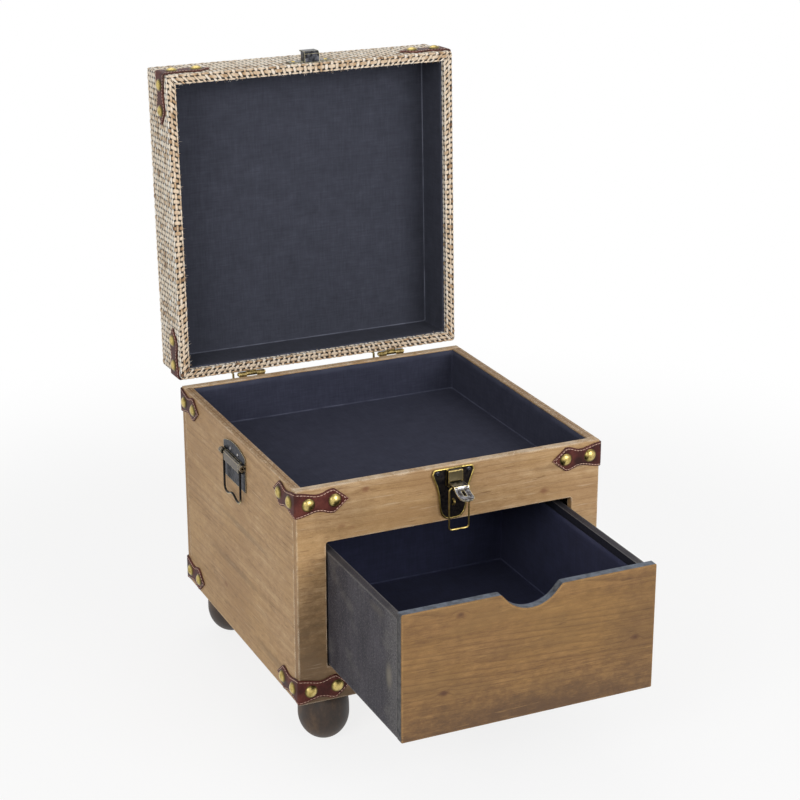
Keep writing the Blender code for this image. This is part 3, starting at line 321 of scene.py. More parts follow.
# seamless paper
floorMaterial, add = startMaterial("whitePaperFloor", Roughness=1.0, Specular_IOR_Level=0.0,
                                   Base_Color=linear(studio["paper"]))
glow = add("Emission", studio["white"], 1.0)
far = add("VectorMath LENGTH", add("TexCoord", output=3))
share = add("MapRange SMOOTHSTEP", far, *studio["floorFade"], studio["floorOwn"], 1.0)
own = add("Math MULTIPLY", seenPlainly(add), share)
tree = floorMaterial.node_tree
paper = add("MixShader", own, tree.nodes["Principled BSDF"].outputs[0], glow)
tree.links.new(paper, tree.nodes["Material Output"].inputs[0])
bm = bmesh.new()
bmesh.ops.create_grid(bm, x_segments=2, y_segments=2, size=studio["floorSide"] / 2)
floorObject = newObject("floor", bm, closed=False)
floorObject.data.materials.append(floorMaterial)
print("camera, floor and lamps made")


# Wood and paint

casePine = {
    "axes": "XZY",            # along, across and through the boards
    "pith": (0.52, 0.12),     # heart of the tree the board came from, across and through
    "ringGap": 5.5 * mm, "sway": 0.03,
    "light": "#bb9b73", "middle": "#aa875d", "dark": "#8f6d45", "golden": "#bb9560",
    "late": "#74532f", "lateShare": 0.42,
    "cloud": "#9c7850", "cloudShare": 0.55,
    "stainAndShadow": "#665037",
    "stainsAndShadows": (               # place along and across, length, width, share
        # the first is a painted shadow that the drawer casts on the stile; the last darkens a strip along
        # the bottom edge
        (-0.15, 0.055, 0.050, 0.16, 0.85), (-0.12, 0.25, 0.05, 0.03, 0.3),
        (0.13, 0.262, 0.04, 0.006, 0.4), (-0.10, 0.056, 0.16, 0.014, 1.0),
    ),
    "knot": "#7b4d31",
    "knots": (                # place along and across, size, share
        (-0.093, 0.2735, 3.0 * mm, 0.75), (-0.118, 0.240, 3.0 * mm, 0.35),
        (-0.108, 0.236, 2.6 * mm, 0.3), (0.102, 0.238, 3.6 * mm, 0.7),
    ),
    # rimShade darkens the top faces as painted shade
    "worn": "#dfccb2", "wear": 1.0, "rimWear": 0.6, "rimShade": 0.08,
    "seam": 0,                # place of the glue line between two plies, 0 for none
    "paint": (),              # dark and light of the paint, then of its end faces
    "endGrain": 1,
}
sidePine = {
    **casePine,
    "axes": "YZX", "pith": (0.60, 0.10), "seam": 161.2 * mm, "endGrain": 0, "rimWear": 0.2, "rimShade": 0.50,
    "light": "#c1a178", "middle": "#af8c63", "dark": "#907049",
    "stainsAndShadows": ((0.03, 0.185, 0.09, 0.005, 0.40), (0.06, 0.132, 0.09, 0.005, 0.35),
               (-0.06, 0.075, 0.07, 0.007, 0.35)),
    "knots": ((0.085, 0.100, 3.6 * mm, 0.5), (-0.04, 0.205, 2.6 * mm, 0.3)),
}
backPine = {
    **casePine,
    "pith": (0.12, -0.08), "stainsAndShadows": (),
    "knots": ((0.06, 0.19, 4 * mm, 0.7), (-0.09, 0.12, 4 * mm, 0.7)),
}
drawerPine = {
    **casePine,
    "pith": (0.44, 0.07), "ringGap": 3.6 * mm, "sway": 0.022,
    "light": "#8f6b3e", "middle": "#7a5830", "dark": "#5e4021", "golden": "#88652d",
    "late": "#4d3212", "lateShare": 0.52,
    "cloud": "#74562f", "cloudShare": 0.5, "endGrain": 0,
    "stainAndShadow": "#503720",
    "stainsAndShadows": ((0.0, 0.082, 0.24, 0.050, 0.95), (0.122, 0.15, 0.05, 0.08, 0.35),
               (-0.02, 0.165, 0.06, 0.010, 0.2)),
    "knot": "#4a2914",
    "knots": ((-0.073, 0.211, 3.0 * mm, 0.8), (-0.090, 0.135, 3.6 * mm, 0.9), (0.112, 0.150, 3.2 * mm, 0.9),
              (-0.060, 0.125, 2.4 * mm, 0.3)),
    "worn": "#b58d54", "wear": 0.65, "paint": ("#3e444d", "#606874", "#1d1c20", "#4c4a49"),
}
rawPine = {**casePine, "light": "#c9ae85", "middle": "#b99b70", "dark": "#a08358", "knots": (), "stainsAndShadows": ()}
woods = {
    "waxedPineFront": (casePine, ("case_front_panel",)),
    "waxedPineSides": (sidePine, ("case_left_panel", "case_right_panel")),
    "waxedPineBack": (backPine, ("case_back_panel",)),
    "stainedPineDrawer": (drawerPine, ("drawer_front",)),
    "rawPineHidden": (rawPine, ("case_bottom_panel", "compartment_floor", "drawer_runner_left",
                                "drawer_runner_right", "lid_top_board", "lid_front_rail",
                                "lid_back_rail", "lid_left_rail", "lid_right_rail")),
}


def pineMaterial(name, look):
    # brushed pine: fine straight grain with thin darker late wood and torn fibres, a matt wax finish
    material, add = startMaterial(name)
    axes = add("SeparateXYZ", add("TexCoord", output=3)).node.outputs
    along, across, through = (axes[axis] for axis in look["axes"])
    grain = add("CombineXYZ", along, across, through)

    # growth rings round the pith, which swell round each knot
    acrossPith = add("Math MULTIPLY_ADD", noiseAlong(add, grain, (2.4, 8, 8), 2.0), look["sway"], across)
    acrossPith = add("Math SUBTRACT", acrossPith, look["pith"][0])
    depthPith = add("Math MULTIPLY_ADD", along, 0.04, through)
    depthPith = add("Math SUBTRACT", depthPith, look["pith"][1])
    reach = add("VectorMath LENGTH", add("CombineXYZ", acrossPith, depthPith))
    rings = add("Math MULTIPLY", reach, 1 / look["ringGap"])
    rings = add("Math MULTIPLY_ADD", noiseAlong(add, grain, (0.5, 40, 40), 1.0), 3.0, rings)
    ripple = add("TexNoise", grain, 150.0, 2.0)
    cores = None
    for knotAlong, knotAcross, size, share in look["knots"]:
        far = farFrom(add, grain, (knotAlong, knotAcross, 0), (0.7 / size, 1 / size, 0), ripple, 1.1)
        swell = add("MapRange SMOOTHSTEP", far, 0.6, 3.4, 0.8, 0.0)
        rings = add("Math ADD", rings, swell)
        core = add("MapRange SMOOTHSTEP", far, 0.7, 2.0, share, 0.0)
        cores = core if cores is None else add("Math MAXIMUM", cores, core)
    lateWood = add("ValToRGB", add("Math FRACT", rings),
                   ramp=((0.0, "#000000"), (0.55, "#141414"), (0.86, "#c8c8c8"), (0.94, "#ffffff"),
                         (1.0, "#101010")))

    # base tone, then clouds, stained patches and a painted shadow, late wood and knots
    streaks = noiseAlong(add, grain, (4, 130, 130), 6.0, 0.66)
    fibres = noiseAlong(add, grain, (110, 900, 900), 3.0, 0.75)   # 1 mm fibres
    mottle = noiseAlong(add, grain, (70, 110, 110), 5.0, 0.75)
    tone = add("Math MULTIPLY_ADD", streaks, 0.54, -0.22)
    tone = add("Math MULTIPLY_ADD", fibres, 0.42, tone)
    tone = add("Math MULTIPLY_ADD", mottle, 0.44, tone)
    colour = add("ValToRGB", tone, ramp=tones(look, 0.30, 0.46, 0.62))
    golden = add("MapRange SMOOTHSTEP", noiseAlong(add, grain, (7, 16, 16)), 0.42, 0.64, 0.0, 0.30)
    cloud = add("MapRange SMOOTHSTEP", noiseAlong(add, grain, (8, 24, 24), 4.0), 0.46, 0.66, 0.0,
                look["cloudShare"])
    layers = [(golden, "golden"), (cloud, "cloud")]
    for stainAlong, stainAcross, length, width, share in look["stainsAndShadows"]:
        far = farFrom(add, grain, (stainAlong, stainAcross, 0), (1 / length, 1 / width, 0), mottle, 1.2)
        layers.append((add("MapRange SMOOTHSTEP", far, 0.8, 1.8, share, 0.0), "stainAndShadow"))
    fade = add("MapRange", noiseAlong(add, grain, (3, 30, 30), 2.0), 0.38, 0.62, 0.1, 1.0)
    late = add("Math MULTIPLY", add("Math MULTIPLY", fade, lateWood), look["lateShare"])
    layers.append((late, "late"))
    if cores is not None:
        layers.append((cores, "knot"))
    for share, layer in layers:
        colour = add("Mix RGBA", share, colour, look[layer])
    pores = add("MapRange", add("TexNoise", grain, 1100.0, 3.0, 0.7), 0.3, 0.7, 0.90, 1.10)
    colour = add("VectorMath SCALE", colour, pores)

    # wear: dents, scratches, rubbed edges, and a rim that is torn by the saw; then painted shade on the top
    # faces
    dents = add("MapRange", noiseAlong(add, grain, (45, 380, 380), 2.0), 0.64, 0.72, 0.0, 0.5)
    scratches = add("MapRange", noiseAlong(add, grain, (26, 520, 520), 2.0), 0.64, 0.74, 0.0, 0.25)
    layers = [(dents, "late"), (scratches, "worn")]
    if look["endGrain"]:   # the boards' ends, seen from the sides, are duller and streaked
        ends = add("Math MAXIMUM", facing(add, 0, 1, 0.5, 0.9), facing(add, 0, -1, 0.5, 0.9))
        ends = add("Math MULTIPLY", ends, noiseAlong(add, grain, (400, 30, 700)))
        layers.append((add("Math MULTIPLY", ends, 0.9), "cloud"))
    patchy = add("MapRange", add("TexNoise", grain, 90.0, 5.0), 0.36, 0.6, 0.15, 1.0)
    rubbed = add("Math MULTIPLY", edgeShare(add, 2.8 * mm, 0.010, 0.09), patchy)
    rubbed = add("Math MULTIPLY", rubbed, look["wear"])
    up = facing(add, 2, 1, 0.7, 0.95)
    wornRim = add("Math MULTIPLY", add("Math MULTIPLY", up, patchy), look["rimWear"])
    # painted shade: the top faces are darkened towards the late wood's colour
    rimShade = add("Math MULTIPLY", up, look["rimShade"])
    torn = add("MapRange", add("TexNoise", grain, 620.0, 3.0, 0.7), 0.52, 0.66, 0.0, 0.75)
    torn = add("Math MULTIPLY", torn, up)
    layers += [(rubbed, "worn"), (wornRim, "worn"), (rimShade, "late"), (torn, "worn")]
    if look["seam"]:
        off = add("Math SUBTRACT", add("Math ABSOLUTE", through), look["seam"])
        off = add("Math MULTIPLY_ADD", fibres, 0.8 * mm, off)
        line = add("MapRange", add("Math ABSOLUTE", off), 0.35 * mm, 0.75 * mm, 0.75, 0.0)
        layers.append((add("Math MULTIPLY", line, facing(add, 2, 1, 0.8, 0.95)), "late"))
    for share, layer in layers:
        colour = add("Mix RGBA", share, colour, look[layer])

    if look["paint"]:   # painted all over but for the front
        dark, light, endDark, endLight = look["paint"]
        brushed = noiseAlong(add, grain, (160, 160, 160))
        paint = add("ValToRGB", brushed, ramp=((0.35, dark), (0.62, light)))
        ends = add("ValToRGB", brushed, ramp=((0.38, endDark), (0.60, endLight)))
        paint = add("Mix RGBA", facing(add, 2, 1, 0.5, 0.9), ends, paint)
        colour = add("Mix RGBA", facing(add, 1, -1, 0.45, 0.7), paint, colour)
    relief = add("Math MULTIPLY_ADD", lateWood, 0.4, fibres)
    relief = add("Math SUBTRACT", relief, dents)
    return finishMaterial(material, look, colour, (), (relief, 0.3 * mm, 0.6), (fibres, 0.55, 0.7))


for name, (look, boards) in woods.items():
    dress(pineMaterial(name, look), *boards)

greyPaint = {
    "dark": "#232127", "middle": "#37353b", "light": "#514e54", "inside": "#1b1c26",
    "rub": "#8b8271",
    "rubs": ((-0.262, 0.149, 0.008, 0.015, 0.6), (-0.235, 0.205, 0.022, 0.006, 0.15)),   # y, z, sizes, share
    "worn": "#807d7a", "scuff": "#63605d",
    "frontWear": (-0.245, -0.274),   # y from which the front end is worn, and where most
}


def paintMaterial(name, look):
    # thin grey limewash over pine: brush marks run up and down, rubbed through on the edges; the top faces
    # are darkened as painted shade
    material, add = startMaterial(name, Specular_IOR_Level=0.25)
    place = add("TexCoord", output=3)
    strokes = noiseAlong(add, place, (420, 420, 60), 4.0, 0.7)   # 2 mm bristle marks
    broad = noiseAlong(add, place, (40, 40, 16), 4.0)
    speckle = noiseAlong(add, place, (800, 800, 500), 3.0, 0.75)
    tone = add("Math MULTIPLY_ADD", strokes, 0.45, -0.06)
    tone = add("Math MULTIPLY_ADD", broad, 0.30, tone)
    tone = add("Math MULTIPLY_ADD", speckle, 0.45, tone)
    colour = add("ValToRGB", tone, ramp=tones(look, 0.40, 0.52, 0.66))
    bare = add("MapRange SMOOTHSTEP", noiseAlong(add, place, (60, 26, 40), 4.0), 0.52, 0.70, 0.0, 0.42)
    flecks = add("MapRange", speckle, 0.56, 0.70, 0.0, 0.6)
    layers = [(bare, "scuff"), (flecks, "worn")]
    for rubY, rubZ, sizeY, sizeZ, share in look["rubs"]:   # where hands and runners wore it
        far = farFrom(add, place, (0, rubY, rubZ), (0, 1 / sizeY, 1 / sizeZ), speckle, 1.2)
        layers.append((add("MapRange SMOOTHSTEP", far, 0.7, 1.8, share, 0.0), "rub"))
    # painted shade: faces that look up are darkened
    up = add("Math MULTIPLY", facing(add, 2, 1, 0.6, 0.9), 0.55)
    forward = add("SeparateXYZ", place, output=1)
    forward = add("MapRange SMOOTHSTEP", forward, *look["frontWear"], 0.0, 0.58)
    forward = add("Math MULTIPLY", forward, add("MapRange", speckle, 0.35, 0.65, 0.0, 1.0))
    rubbed = add("Math MULTIPLY", edgeShare(add, 3.2 * mm, 0.015, 0.12), speckle)
    left = add("Math LESS_THAN", add("SeparateXYZ", place), 0.0)
    inside = add("Mix FLOAT", left, facing(add, 0, -1, 0.6, 0.9), facing(add, 0, 1, 0.6, 0.9))
    layers += [(up, "dark"), (forward, "worn"), (rubbed, "worn"),
               (inside, "inside")]   # blackened where the lining stops
    return finishMaterial(material, look, colour, layers, (tone, 0.35 * mm, 0.6), (strokes, 0.6, 0.82))


drawerPaint = paintMaterial("limewashedDrawerWood", greyPaint)
dress(drawerPaint, "drawer_left_side", "drawer_right_side", "drawer_back", "drawer_bottom")
print("wood and paint made")


# Turned feet

feet = {
    "radius": 26 * mm, "height": 55 * mm, "waist": 27 * mm, "shoulder": 32 * mm, "belly": 29 * mm,
    "fullness": 3.0, "shoulderSteps": 14, "bellySteps": 18, "sides": 72, "sharpFrom": 50,
    "neck": 0.3 * mm, "dowelRadius": 6 * mm, "dowelTop": 7 * mm,
    "dark": "#231810", "middle": "#35261b", "light": "#503d2b",
}


def stainMaterial(look):
    # dark stained beech, turned: fine rings from the gouge and a low satin shine
    material, add = startMaterial("stainedTurnedFoot")
    place = add("TexCoord", output=3)
    figure = noiseAlong(add, place, (60, 60, 35), 5.0, 0.75)
    colour = add("ValToRGB", figure, ramp=tones(look, 0.36, 0.5, 0.64))
    gouge = noiseAlong(add, place, (3, 3, 1300), 1.0)    # 0.8 mm tool marks
    return finishMaterial(material, look, colour, (), (gouge, 0.15 * mm, 0.4), (figure, 0.42, 0.6))


def footProfile(look):
    dowel, waist, neck = look["dowelRadius"], look["waist"], look["neck"]
    points = [(0, look["dowelTop"]), (dowel, look["dowelTop"]), (dowel, -neck)]
    for step in range(look["shoulderSteps"], 0, -1):
        rise = (waist - neck) * step / look["shoulderSteps"]
        full = 1 - (rise / look["shoulder"]) ** look["fullness"]
        points.append((look["radius"] * full ** (1 / look["fullness"]), rise - waist))
    lowest = math.asin((look["height"] - waist) / look["belly"])
    for step in range(look["bellySteps"] + 1):
        angle = lowest * step / look["bellySteps"]
        points.append((look["radius"] * math.cos(angle), -waist - look["belly"] * math.sin(angle)))
    return points + [(0, -look["height"])]


footStain = stainMaterial(feet)
for name in ("foot_front_left", "foot_front_right", "foot_rear_left", "foot_rear_right"):
    low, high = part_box(name)
    middle = (low + high) / 2
    bm = bmesh.new()
    addTurned(bm, footProfile(feet), feet["sides"],
              Matrix.Translation((middle.x, middle.y, feet["height"])))
    foot = makePiece(name.replace("foot", "turnedFoot"), bm, footStain, "case", (name,))
    foot.data.set_sharp_from_angle(angle=math.radians(feet["sharpFrom"]))
print("feet made")


# The lid's own frame: the shut lid, seen from the case

def jointNamed(name):
    return next(j for j in frame["record"]["behaviour"]["joints"] if j["name"] == name)


lidHinge = jointNamed("lid_hinge")
lidAxis = Vector(lidHinge["pos_m"])
lidTurn = math.radians(max(lidHinge["range_deg"]))
lidOpen = Matrix.Translation(lidAxis) @ Matrix.Rotation(-lidTurn, 4, "X") @ Matrix.Translation(-lidAxis)
lidShut = lidOpen.inverted()


def shutBox(*names):
    # lowest and highest corner of nodes of the lid, as they lie when it is shut
    corners = np.array([lidShut @ v.co for name in names for v in frame["nodes"][name].data.vertices])
    return Vector(corners.min(0)), Vector(corners.max(0))


# Woven cover of the lid

weave = {
    "threadsX": 54, "threadsY": 58,    # over the lid's width and length: 6.2 and 5.7 mm apart
    "steps": 5,                        # mesh steps for each thread
    "inset": 11.5 * mm,                # where the flat field ends and the side strip begins
    "warpWidth": 0.54,                 # share of its space that a thread fills
    "weftWidth": 0.80,
    "wave": 0.36 * mm,                 # how far a thread rises and dips
    "crown": 0.60 * mm,                # how round it stands
    "sunk": 0.66 * mm,
    "edgeRound": 2.0 * mm, "edgeSteps": 6, "cornerRound": 2.2 * mm, "cornerLeast": 0.4 * mm,
    "cornerSteps": 5, "cornerHeight": 0.35 * mm, "cornerThreads": 0.9,
    "thickness": 1.2 * mm, "lipClear": 0.3 * mm, "pathStep": 1.25 * mm,
    "rimPath": (                       # inward and up in mm: down the side and round the rim
        (0, 5.0), (-0.3, 3.2), (-0.15, 1.6), (0.6, 0.45), (1.6, 0.1), (2.7, 0.4), (3.5, 1.5), (4.3, 0.4),
        (5.6, 0.15),
    ),
    "lipPath": ((-1.2, 0.15), (-0.3, 0.7), (0, 1.8), (0, 6.5)),   # in mm from the inner lip
    # gap is the colour of the painted shade in the weave's hollows
    "cream": "#f6e7d1", "bone": "#fffaf0", "tan": "#cbad88", "brown": "#7a593e", "gap": "#100905",
    "frayed": 420, "frayLength": (1.2 * mm, 3.2 * mm), "frayRadius": 0.13 * mm, "fraySeed": 5,
    "fraySpread": 0.55, "frayCurl": 0.5, "frayRise": (0.6, 2.2),   # rise above the rim's foot in mm
    "frayLip": 0.2 * mm, "frayRoot": 0.3 * mm, "frayEnds": 2 * mm, "frayFlat": 0.5, "frayBend": 0.6,
    "frayTaper": ((0, 1), (0.35, 0.9), (0.7, 0.7), (1.0, 0.4)),    # shares of the length and radius
}


def weaveHeight(u, v):
    # surface of a plain weave in metres, from a height of 0 in the open corners
    def thread(acrossIt, alongIt, width, other):
        column = np.floor(acrossIt)
        side = (2 * (acrossIt - column) - 1) / width
        crown = np.sqrt(np.clip(1 - side ** 2, 0, 1))
        wave = np.cos(math.pi * (alongIt - 0.5 + column + other))
        return crown * (weave["crown"] + weave["wave"] * wave)
    return np.maximum(thread(u, v, weave["warpWidth"], 0), thread(v, u, weave["weftWidth"], 1))


def coverMaterial(look):
    # basket cloth of thick uneven jute and linen yarn: pale warp, tanner weft, painted shade in the open
    # corners and on the sunken parts of the threads, and painted shade on the rim
    material, add = startMaterial("wovenJuteCover", Roughness=0.95, Sheen_Weight=0.15, Sheen_Roughness=0.6)
    threads = add("UVMap", uv_map="threads")
    wobble = add("TexNoise", threads, 0.9, 3.0, output=1)
    wobble = add("VectorMath SUBTRACT", wobble, (0.5, 0.5, 0.5))
    wobble = add("VectorMath SCALE", wobble, 0.16)
    axes = add("SeparateXYZ", add("VectorMath ADD", threads, wobble)).node.outputs
    found = []
    for acrossIt, alongIt, width, other in ((axes[0], axes[1], look["warpWidth"], 0.0),
                                            (axes[1], axes[0], look["weftWidth"], 1.0)):
        column = add("Math FLOOR", acrossIt)
        # slubs: each thread has its own colour, and swells and thins along its length
        own = add("TexWhiteNoise", add("CombineXYZ", column, 7.3 * other))
        slub = noiseAlong(add, add("CombineXYZ", column, alongIt, other), (3.7, 0.7, 9.1), 3.0, 0.5)
        swell = add("Math MULTIPLY_ADD", slub, 0.5, width - 0.25)
        side = add("Math MULTIPLY_ADD", add("Math FRACT", acrossIt), 2.0, -1.0)
        side = add("Math DIVIDE", side, swell)
        crown = add("Math SUBTRACT", 1.0, add("Math MULTIPLY", side, side), use_clamp=True)
        crown = add("Math SQRT", crown)
        angle = add("Math ADD", alongIt, column)
        angle = add("Math MULTIPLY_ADD", angle, math.pi, math.pi * (other - 0.5))
        wave = add("Math MULTIPLY_ADD", add("Math COSINE", angle), 0.38, 0.62)
        fibre = noiseAlong(add, add("CombineXYZ", acrossIt, alongIt, other), (9, 2.6, 5), 3.0, 0.75)
        found.append((add("Math MULTIPLY", wave, crown), own, slub, fibre))
    (warp, warpOwn, warpSlub, warpFibre), (weft, weftOwn, weftSlub, weftFibre) = found
    weftOnTop = add("Math GREATER_THAN", weft, warp)
    top = add("Math MAXIMUM", warp, weft)
    tone = add("Math MULTIPLY_ADD", warpSlub, 0.75, 0.04)
    tone = add("Math MULTIPLY_ADD", warpOwn, 0.18, tone)
    warpColour = add("ValToRGB", tone,
                     ramp=((0.34, look["tan"]), (0.46, look["cream"]), (0.60, look["bone"])))
    tone = add("Math MULTIPLY_ADD", weftSlub, 0.8, 0.02)
    tone = add("Math MULTIPLY_ADD", weftOwn, 0.22, tone)
    weftColour = add("ValToRGB", tone,
                     ramp=((0.30, look["brown"]), (0.42, look["tan"]), (0.58, look["cream"])))
    colour = add("Mix RGBA", weftOnTop, warpColour, weftColour)
    fibre = add("Mix FLOAT", weftOnTop, warpFibre, weftFibre)
    fleck = add("MapRange", fibre, 0.40, 0.28, 0.0, 0.7)
    pale = add("MapRange", fibre, 0.60, 0.74, 0.0, 0.7)
    # painted shade: the lower a thread lies, the darker
    depth = add("MapRange SMOOTHSTEP", top, 0.20, 0.62, 1.0, 0.0)
    paintedRimShade = add("Math MULTIPLY", facing(add, 1, -1, 0.4, 0.9), 0.36)
    layers = [(fleck, "brown"), (pale, "bone"), (depth, "gap"),
              (paintedRimShade, "tan", "MULTIPLY")]   # painted shade: faces that look forward, the rim most, are darkened
    relief = add("Math MULTIPLY_ADD", fibre, 0.35, top)
    return finishMaterial(material, look, colour, layers, (relief, 0.9 * mm, 0.8))


def fibreMaterial(look):
    # loose jute fibre: pale straw with darker lengths
    material, add = startMaterial("looseJuteFibre", Roughness=0.95)
    cloudy = add("TexNoise", add("TexCoord", output=3), 240.0, 2.0)
    colour = add("ValToRGB", cloudy, ramp=((0.38, look["brown"]), (0.48, look["tan"]), (0.6, look["bone"])))
    return finishMaterial(material, look, colour)


coverCloth = coverMaterial(weave)
coverLow, coverHigh = shutBox("lid_cover")
lidSpan = coverHigh - coverLow
lidCentre = (coverLow + coverHigh) / 2
pitchX, pitchY = lidSpan.x / weave["threadsX"], lidSpan.y / weave["threadsY"]
lipInward = shutBox("lid_left_rail")[1].x - coverLow.x + weave["thickness"]   # from the lid's side


def coverField():
    # flat top of the cover, up to where the side strip takes over
    inset = weave["inset"]
    bm = bmesh.new()
    layer = bm.loops.layers.uv.new("threads")
    us, vs = (np.linspace(inset / pitch, threads - inset / pitch,
                          round((span - 2 * inset) / pitch * weave["steps"]) + 1)
              for pitch, threads, span in ((pitchX, weave["threadsX"], lidSpan.x),
                                           (pitchY, weave["threadsY"], lidSpan.y)))
    rows = []
    for v in vs:
        heights = weaveHeight(us, np.full_like(us, v)) - weave["sunk"]
        rows.append([bm.verts.new((coverLow.x + u * pitchX, coverLow.y + v * pitchY, coverHigh.z + h))
                     for u, h in zip(us, heights)])
    for j in range(len(vs) - 1):
        for i in range(len(us) - 1):
            corners = ((i, j), (i + 1, j), (i + 1, j + 1), (i, j + 1))
            face = bm.faces.new([rows[y][x] for x, y in corners])
            for loop, (x, y) in zip(face.loops, corners):
                loop[layer].uv = us[x], vs[y]
    return bm


def coverPath():
    # from the flat top over the edge, down the side, round the rim and in behind it:
    # inward from the lid's side, height, and the length run so far
    depth, bend = lidSpan.z, weave["edgeRound"]
    lip = lipInward + weave["lipClear"]
    points = [(weave["inset"], depth), (bend, depth)]
    points += [(bend - bend * math.sin(a), depth - bend + bend * math.cos(a))
               for a in np.linspace(0, math.pi / 2, weave["edgeSteps"])[1:]]
    points += [(inward * mm, height * mm) for inward, height in weave["rimPath"]]
    points += [(lip + inward * mm, height * mm) for inward, height in weave["lipPath"]]
    points = np.array(points)
    run = runAlong(points)
    at = np.linspace(0, run[-1], round(run[-1] / weave["pathStep"]) + 1)
    return np.interp(at, run, points[:, 0]), np.interp(at, run, points[:, 1]), at


def clothPlace(side, along, run):
    # threads across and along, as if the cover were unfolded flat; along counts threads of this side
    out = run - weave["inset"]
    threadsX, threadsY = weave["threadsX"], weave["threadsY"]
    return ((along, -out / pitchY), (threadsX + out / pitchX, along),
            (threadsX - along, threadsY + out / pitchY), (-out / pitchX, threadsY - along))[side]


def coverStrip():
    # sides and rim of the cover as one closed strip round the lid
    inward, height, run = coverPath()
    tangent = np.gradient(np.stack([inward, height], 1), axis=0)
    tangent /= np.linalg.norm(tangent, axis=1)[:, None]
    bm = bmesh.new()
    layer = bm.loops.layers.uv.new("threads")
    steps, cornerSteps = weave["steps"], weave["cornerSteps"]
    spots = []    # side, place along it in threads, share of the corner's turn
    for side in range(4):
        threads = weave["threadsX"] if side % 2 == 0 else weave["threadsY"]
        spots += [(side, a / steps, 0.0) for a in range(steps, (threads - 1) * steps + 1)]
        spots += [(side, threads - 1.0, k / cornerSteps) for k in range(1, cornerSteps)]
    columns = []
    for side, along, corner in spots:
        pitch, length, across = ((pitchX, lidSpan.x, lidSpan.y) if side % 2 == 0 else
                                 (pitchY, lidSpan.y, lidSpan.x))
        share = (along * pitch - pitch) / (length - 2 * pitch)
        angle = corner * math.pi / 2
        column = []
        for k in range(len(run)):
            free = max(weave["cornerRound"] - max(inward[k], 0), weave["cornerLeast"])
            reach = length / 2 - inward[k] - free
            spot = Vector((-reach + 2 * reach * share + free * math.sin(angle),
                           inward[k] - across / 2 + free * (1 - math.cos(angle)), height[k]))
            u, v = clothPlace(side, along, run[k])
            rise = weave["cornerHeight"] if corner else float(weaveHeight(np.array(u), np.array(v)))
            spot += Vector((-math.sin(angle) * tangent[k, 1], math.cos(angle) * tangent[k, 1],
                            -tangent[k, 0])) * (rise - weave["sunk"])
            turned = quarterTurn(side) @ spot
            column.append(bm.verts.new((lidCentre.x + turned.x, lidCentre.y + turned.y,
                                        coverLow.z + turned.z)))
        columns.append(column)
    for j, (side, along, corner) in enumerate(spots):
        following = (j + 1) % len(spots)
        nextSide, nextAlong, nextCorner = spots[following]
        if nextSide != side:
            nextAlong, nextCorner = along, 1.0
        here = columns[j], along + weave["cornerThreads"] * corner
        there = columns[following], nextAlong + weave["cornerThreads"] * nextCorner
        for k in range(len(run) - 1):
            corners = ((*here, k + 1), (*there, k + 1), (*there, k), (*here, k))
            face = bm.faces.new([column[row] for column, at, row in corners])
            for loop, (column, at, row) in zip(face.loops, corners):
                loop[layer].uv = clothPlace(side, at, run[row])
    return bm


def coverFray():
    # loose fibre ends that stand out over the lining from the inner edge of the rim
    roll = np.random.default_rng(weave["fraySeed"])
    lip, flat = lipInward + weave["frayLip"], weave["frayFlat"]
    halves = (lidSpan.x / 2 - lip, lidSpan.y / 2 - lip)
    bm = bmesh.new()
    for _ in range(weave["frayed"]):
        side = roll.integers(4)
        half, away = halves if side % 2 == 0 else halves[::-1]
        along = roll.uniform(-1, 1) * (half - weave["frayEnds"])
        start = Vector((along, -away - weave["frayRoot"], roll.uniform(*weave["frayRise"]) * mm))
        way = (Vector((0, 1, 0)) + Vector(roll.normal(0, weave["fraySpread"], 3))).normalized()
        curl = Vector(roll.normal(0, weave["frayCurl"], 3))
        way.z, curl.z = abs(way.z) * flat, abs(curl.z) * flat
        length = roll.uniform(*weave["frayLength"])
        path = [start + way * length * s + curl * length * s * s * weave["frayBend"]
                for s, _ in weave["frayTaper"]]
        turned = [quarterTurn(side) @ p for p in path]
        addTube(bm, [Vector((lidCentre.x + p.x, lidCentre.y + p.y, coverLow.z + p.z)) for p in turned],
                [weave["frayRadius"] * thin for _, thin in weave["frayTaper"]], 4)
    return bm


coverTopPiece = makePiece("coverField", coverField(), coverCloth, "lid", ("lid_cover",),
                          lidOpen, closed=False)
coverSidePiece = makePiece("coverSides", coverStrip(), coverCloth, "lid", ("lid_cover",),
                           lidOpen, closed=False)
fray = makePiece("coverFray", coverFray(), fibreMaterial(weave), "lid", (), lidOpen)
float(coverPath()[2][-1])
print("woven cover made")


# Linings

lining = {
    "cell": 7 * mm, "corner": 2.0 * mm, "cloth": 0.8 * mm, "clear": 0.05 * mm, "ripple": 0.35 * mm,
    "rippleLength": 60 * mm, "trimLength": 25 * mm, "waves": 7,
    "seam": 0.75 * mm, "seamLift": 0.7 * mm, "seamCorner": 3.0 * mm, "seamInset": 0.5 * mm,
    "seamWave": 0.3 * mm, "seamWaveLength": 45 * mm, "seamSwell": 0.3, "seamSteps": (40, 5), "seamSides": 8,
    "cornerSteps": 3, "trimReach": 0.5 * mm,
    # fold is the pale colour of a painted highlight on the lining's edges and seams
    "dark": "#33353f", "middle": "#3b3d48", "light": "#444652", "fold": "#6b6e7c", "shine": 0.3,
}
# the tray's cloth is the lid's, darkened as painted shade
trayLookShaded = {**lining, "dark": "#272939", "middle": "#303242", "light": "#393b4d", "fold": "#4d5061",
            "shine": 0.36}
drawerLook = {**lining, "dark": "#20233a", "middle": "#272a44", "light": "#2e314e", "fold": "#454963",
              "shine": 0.48}


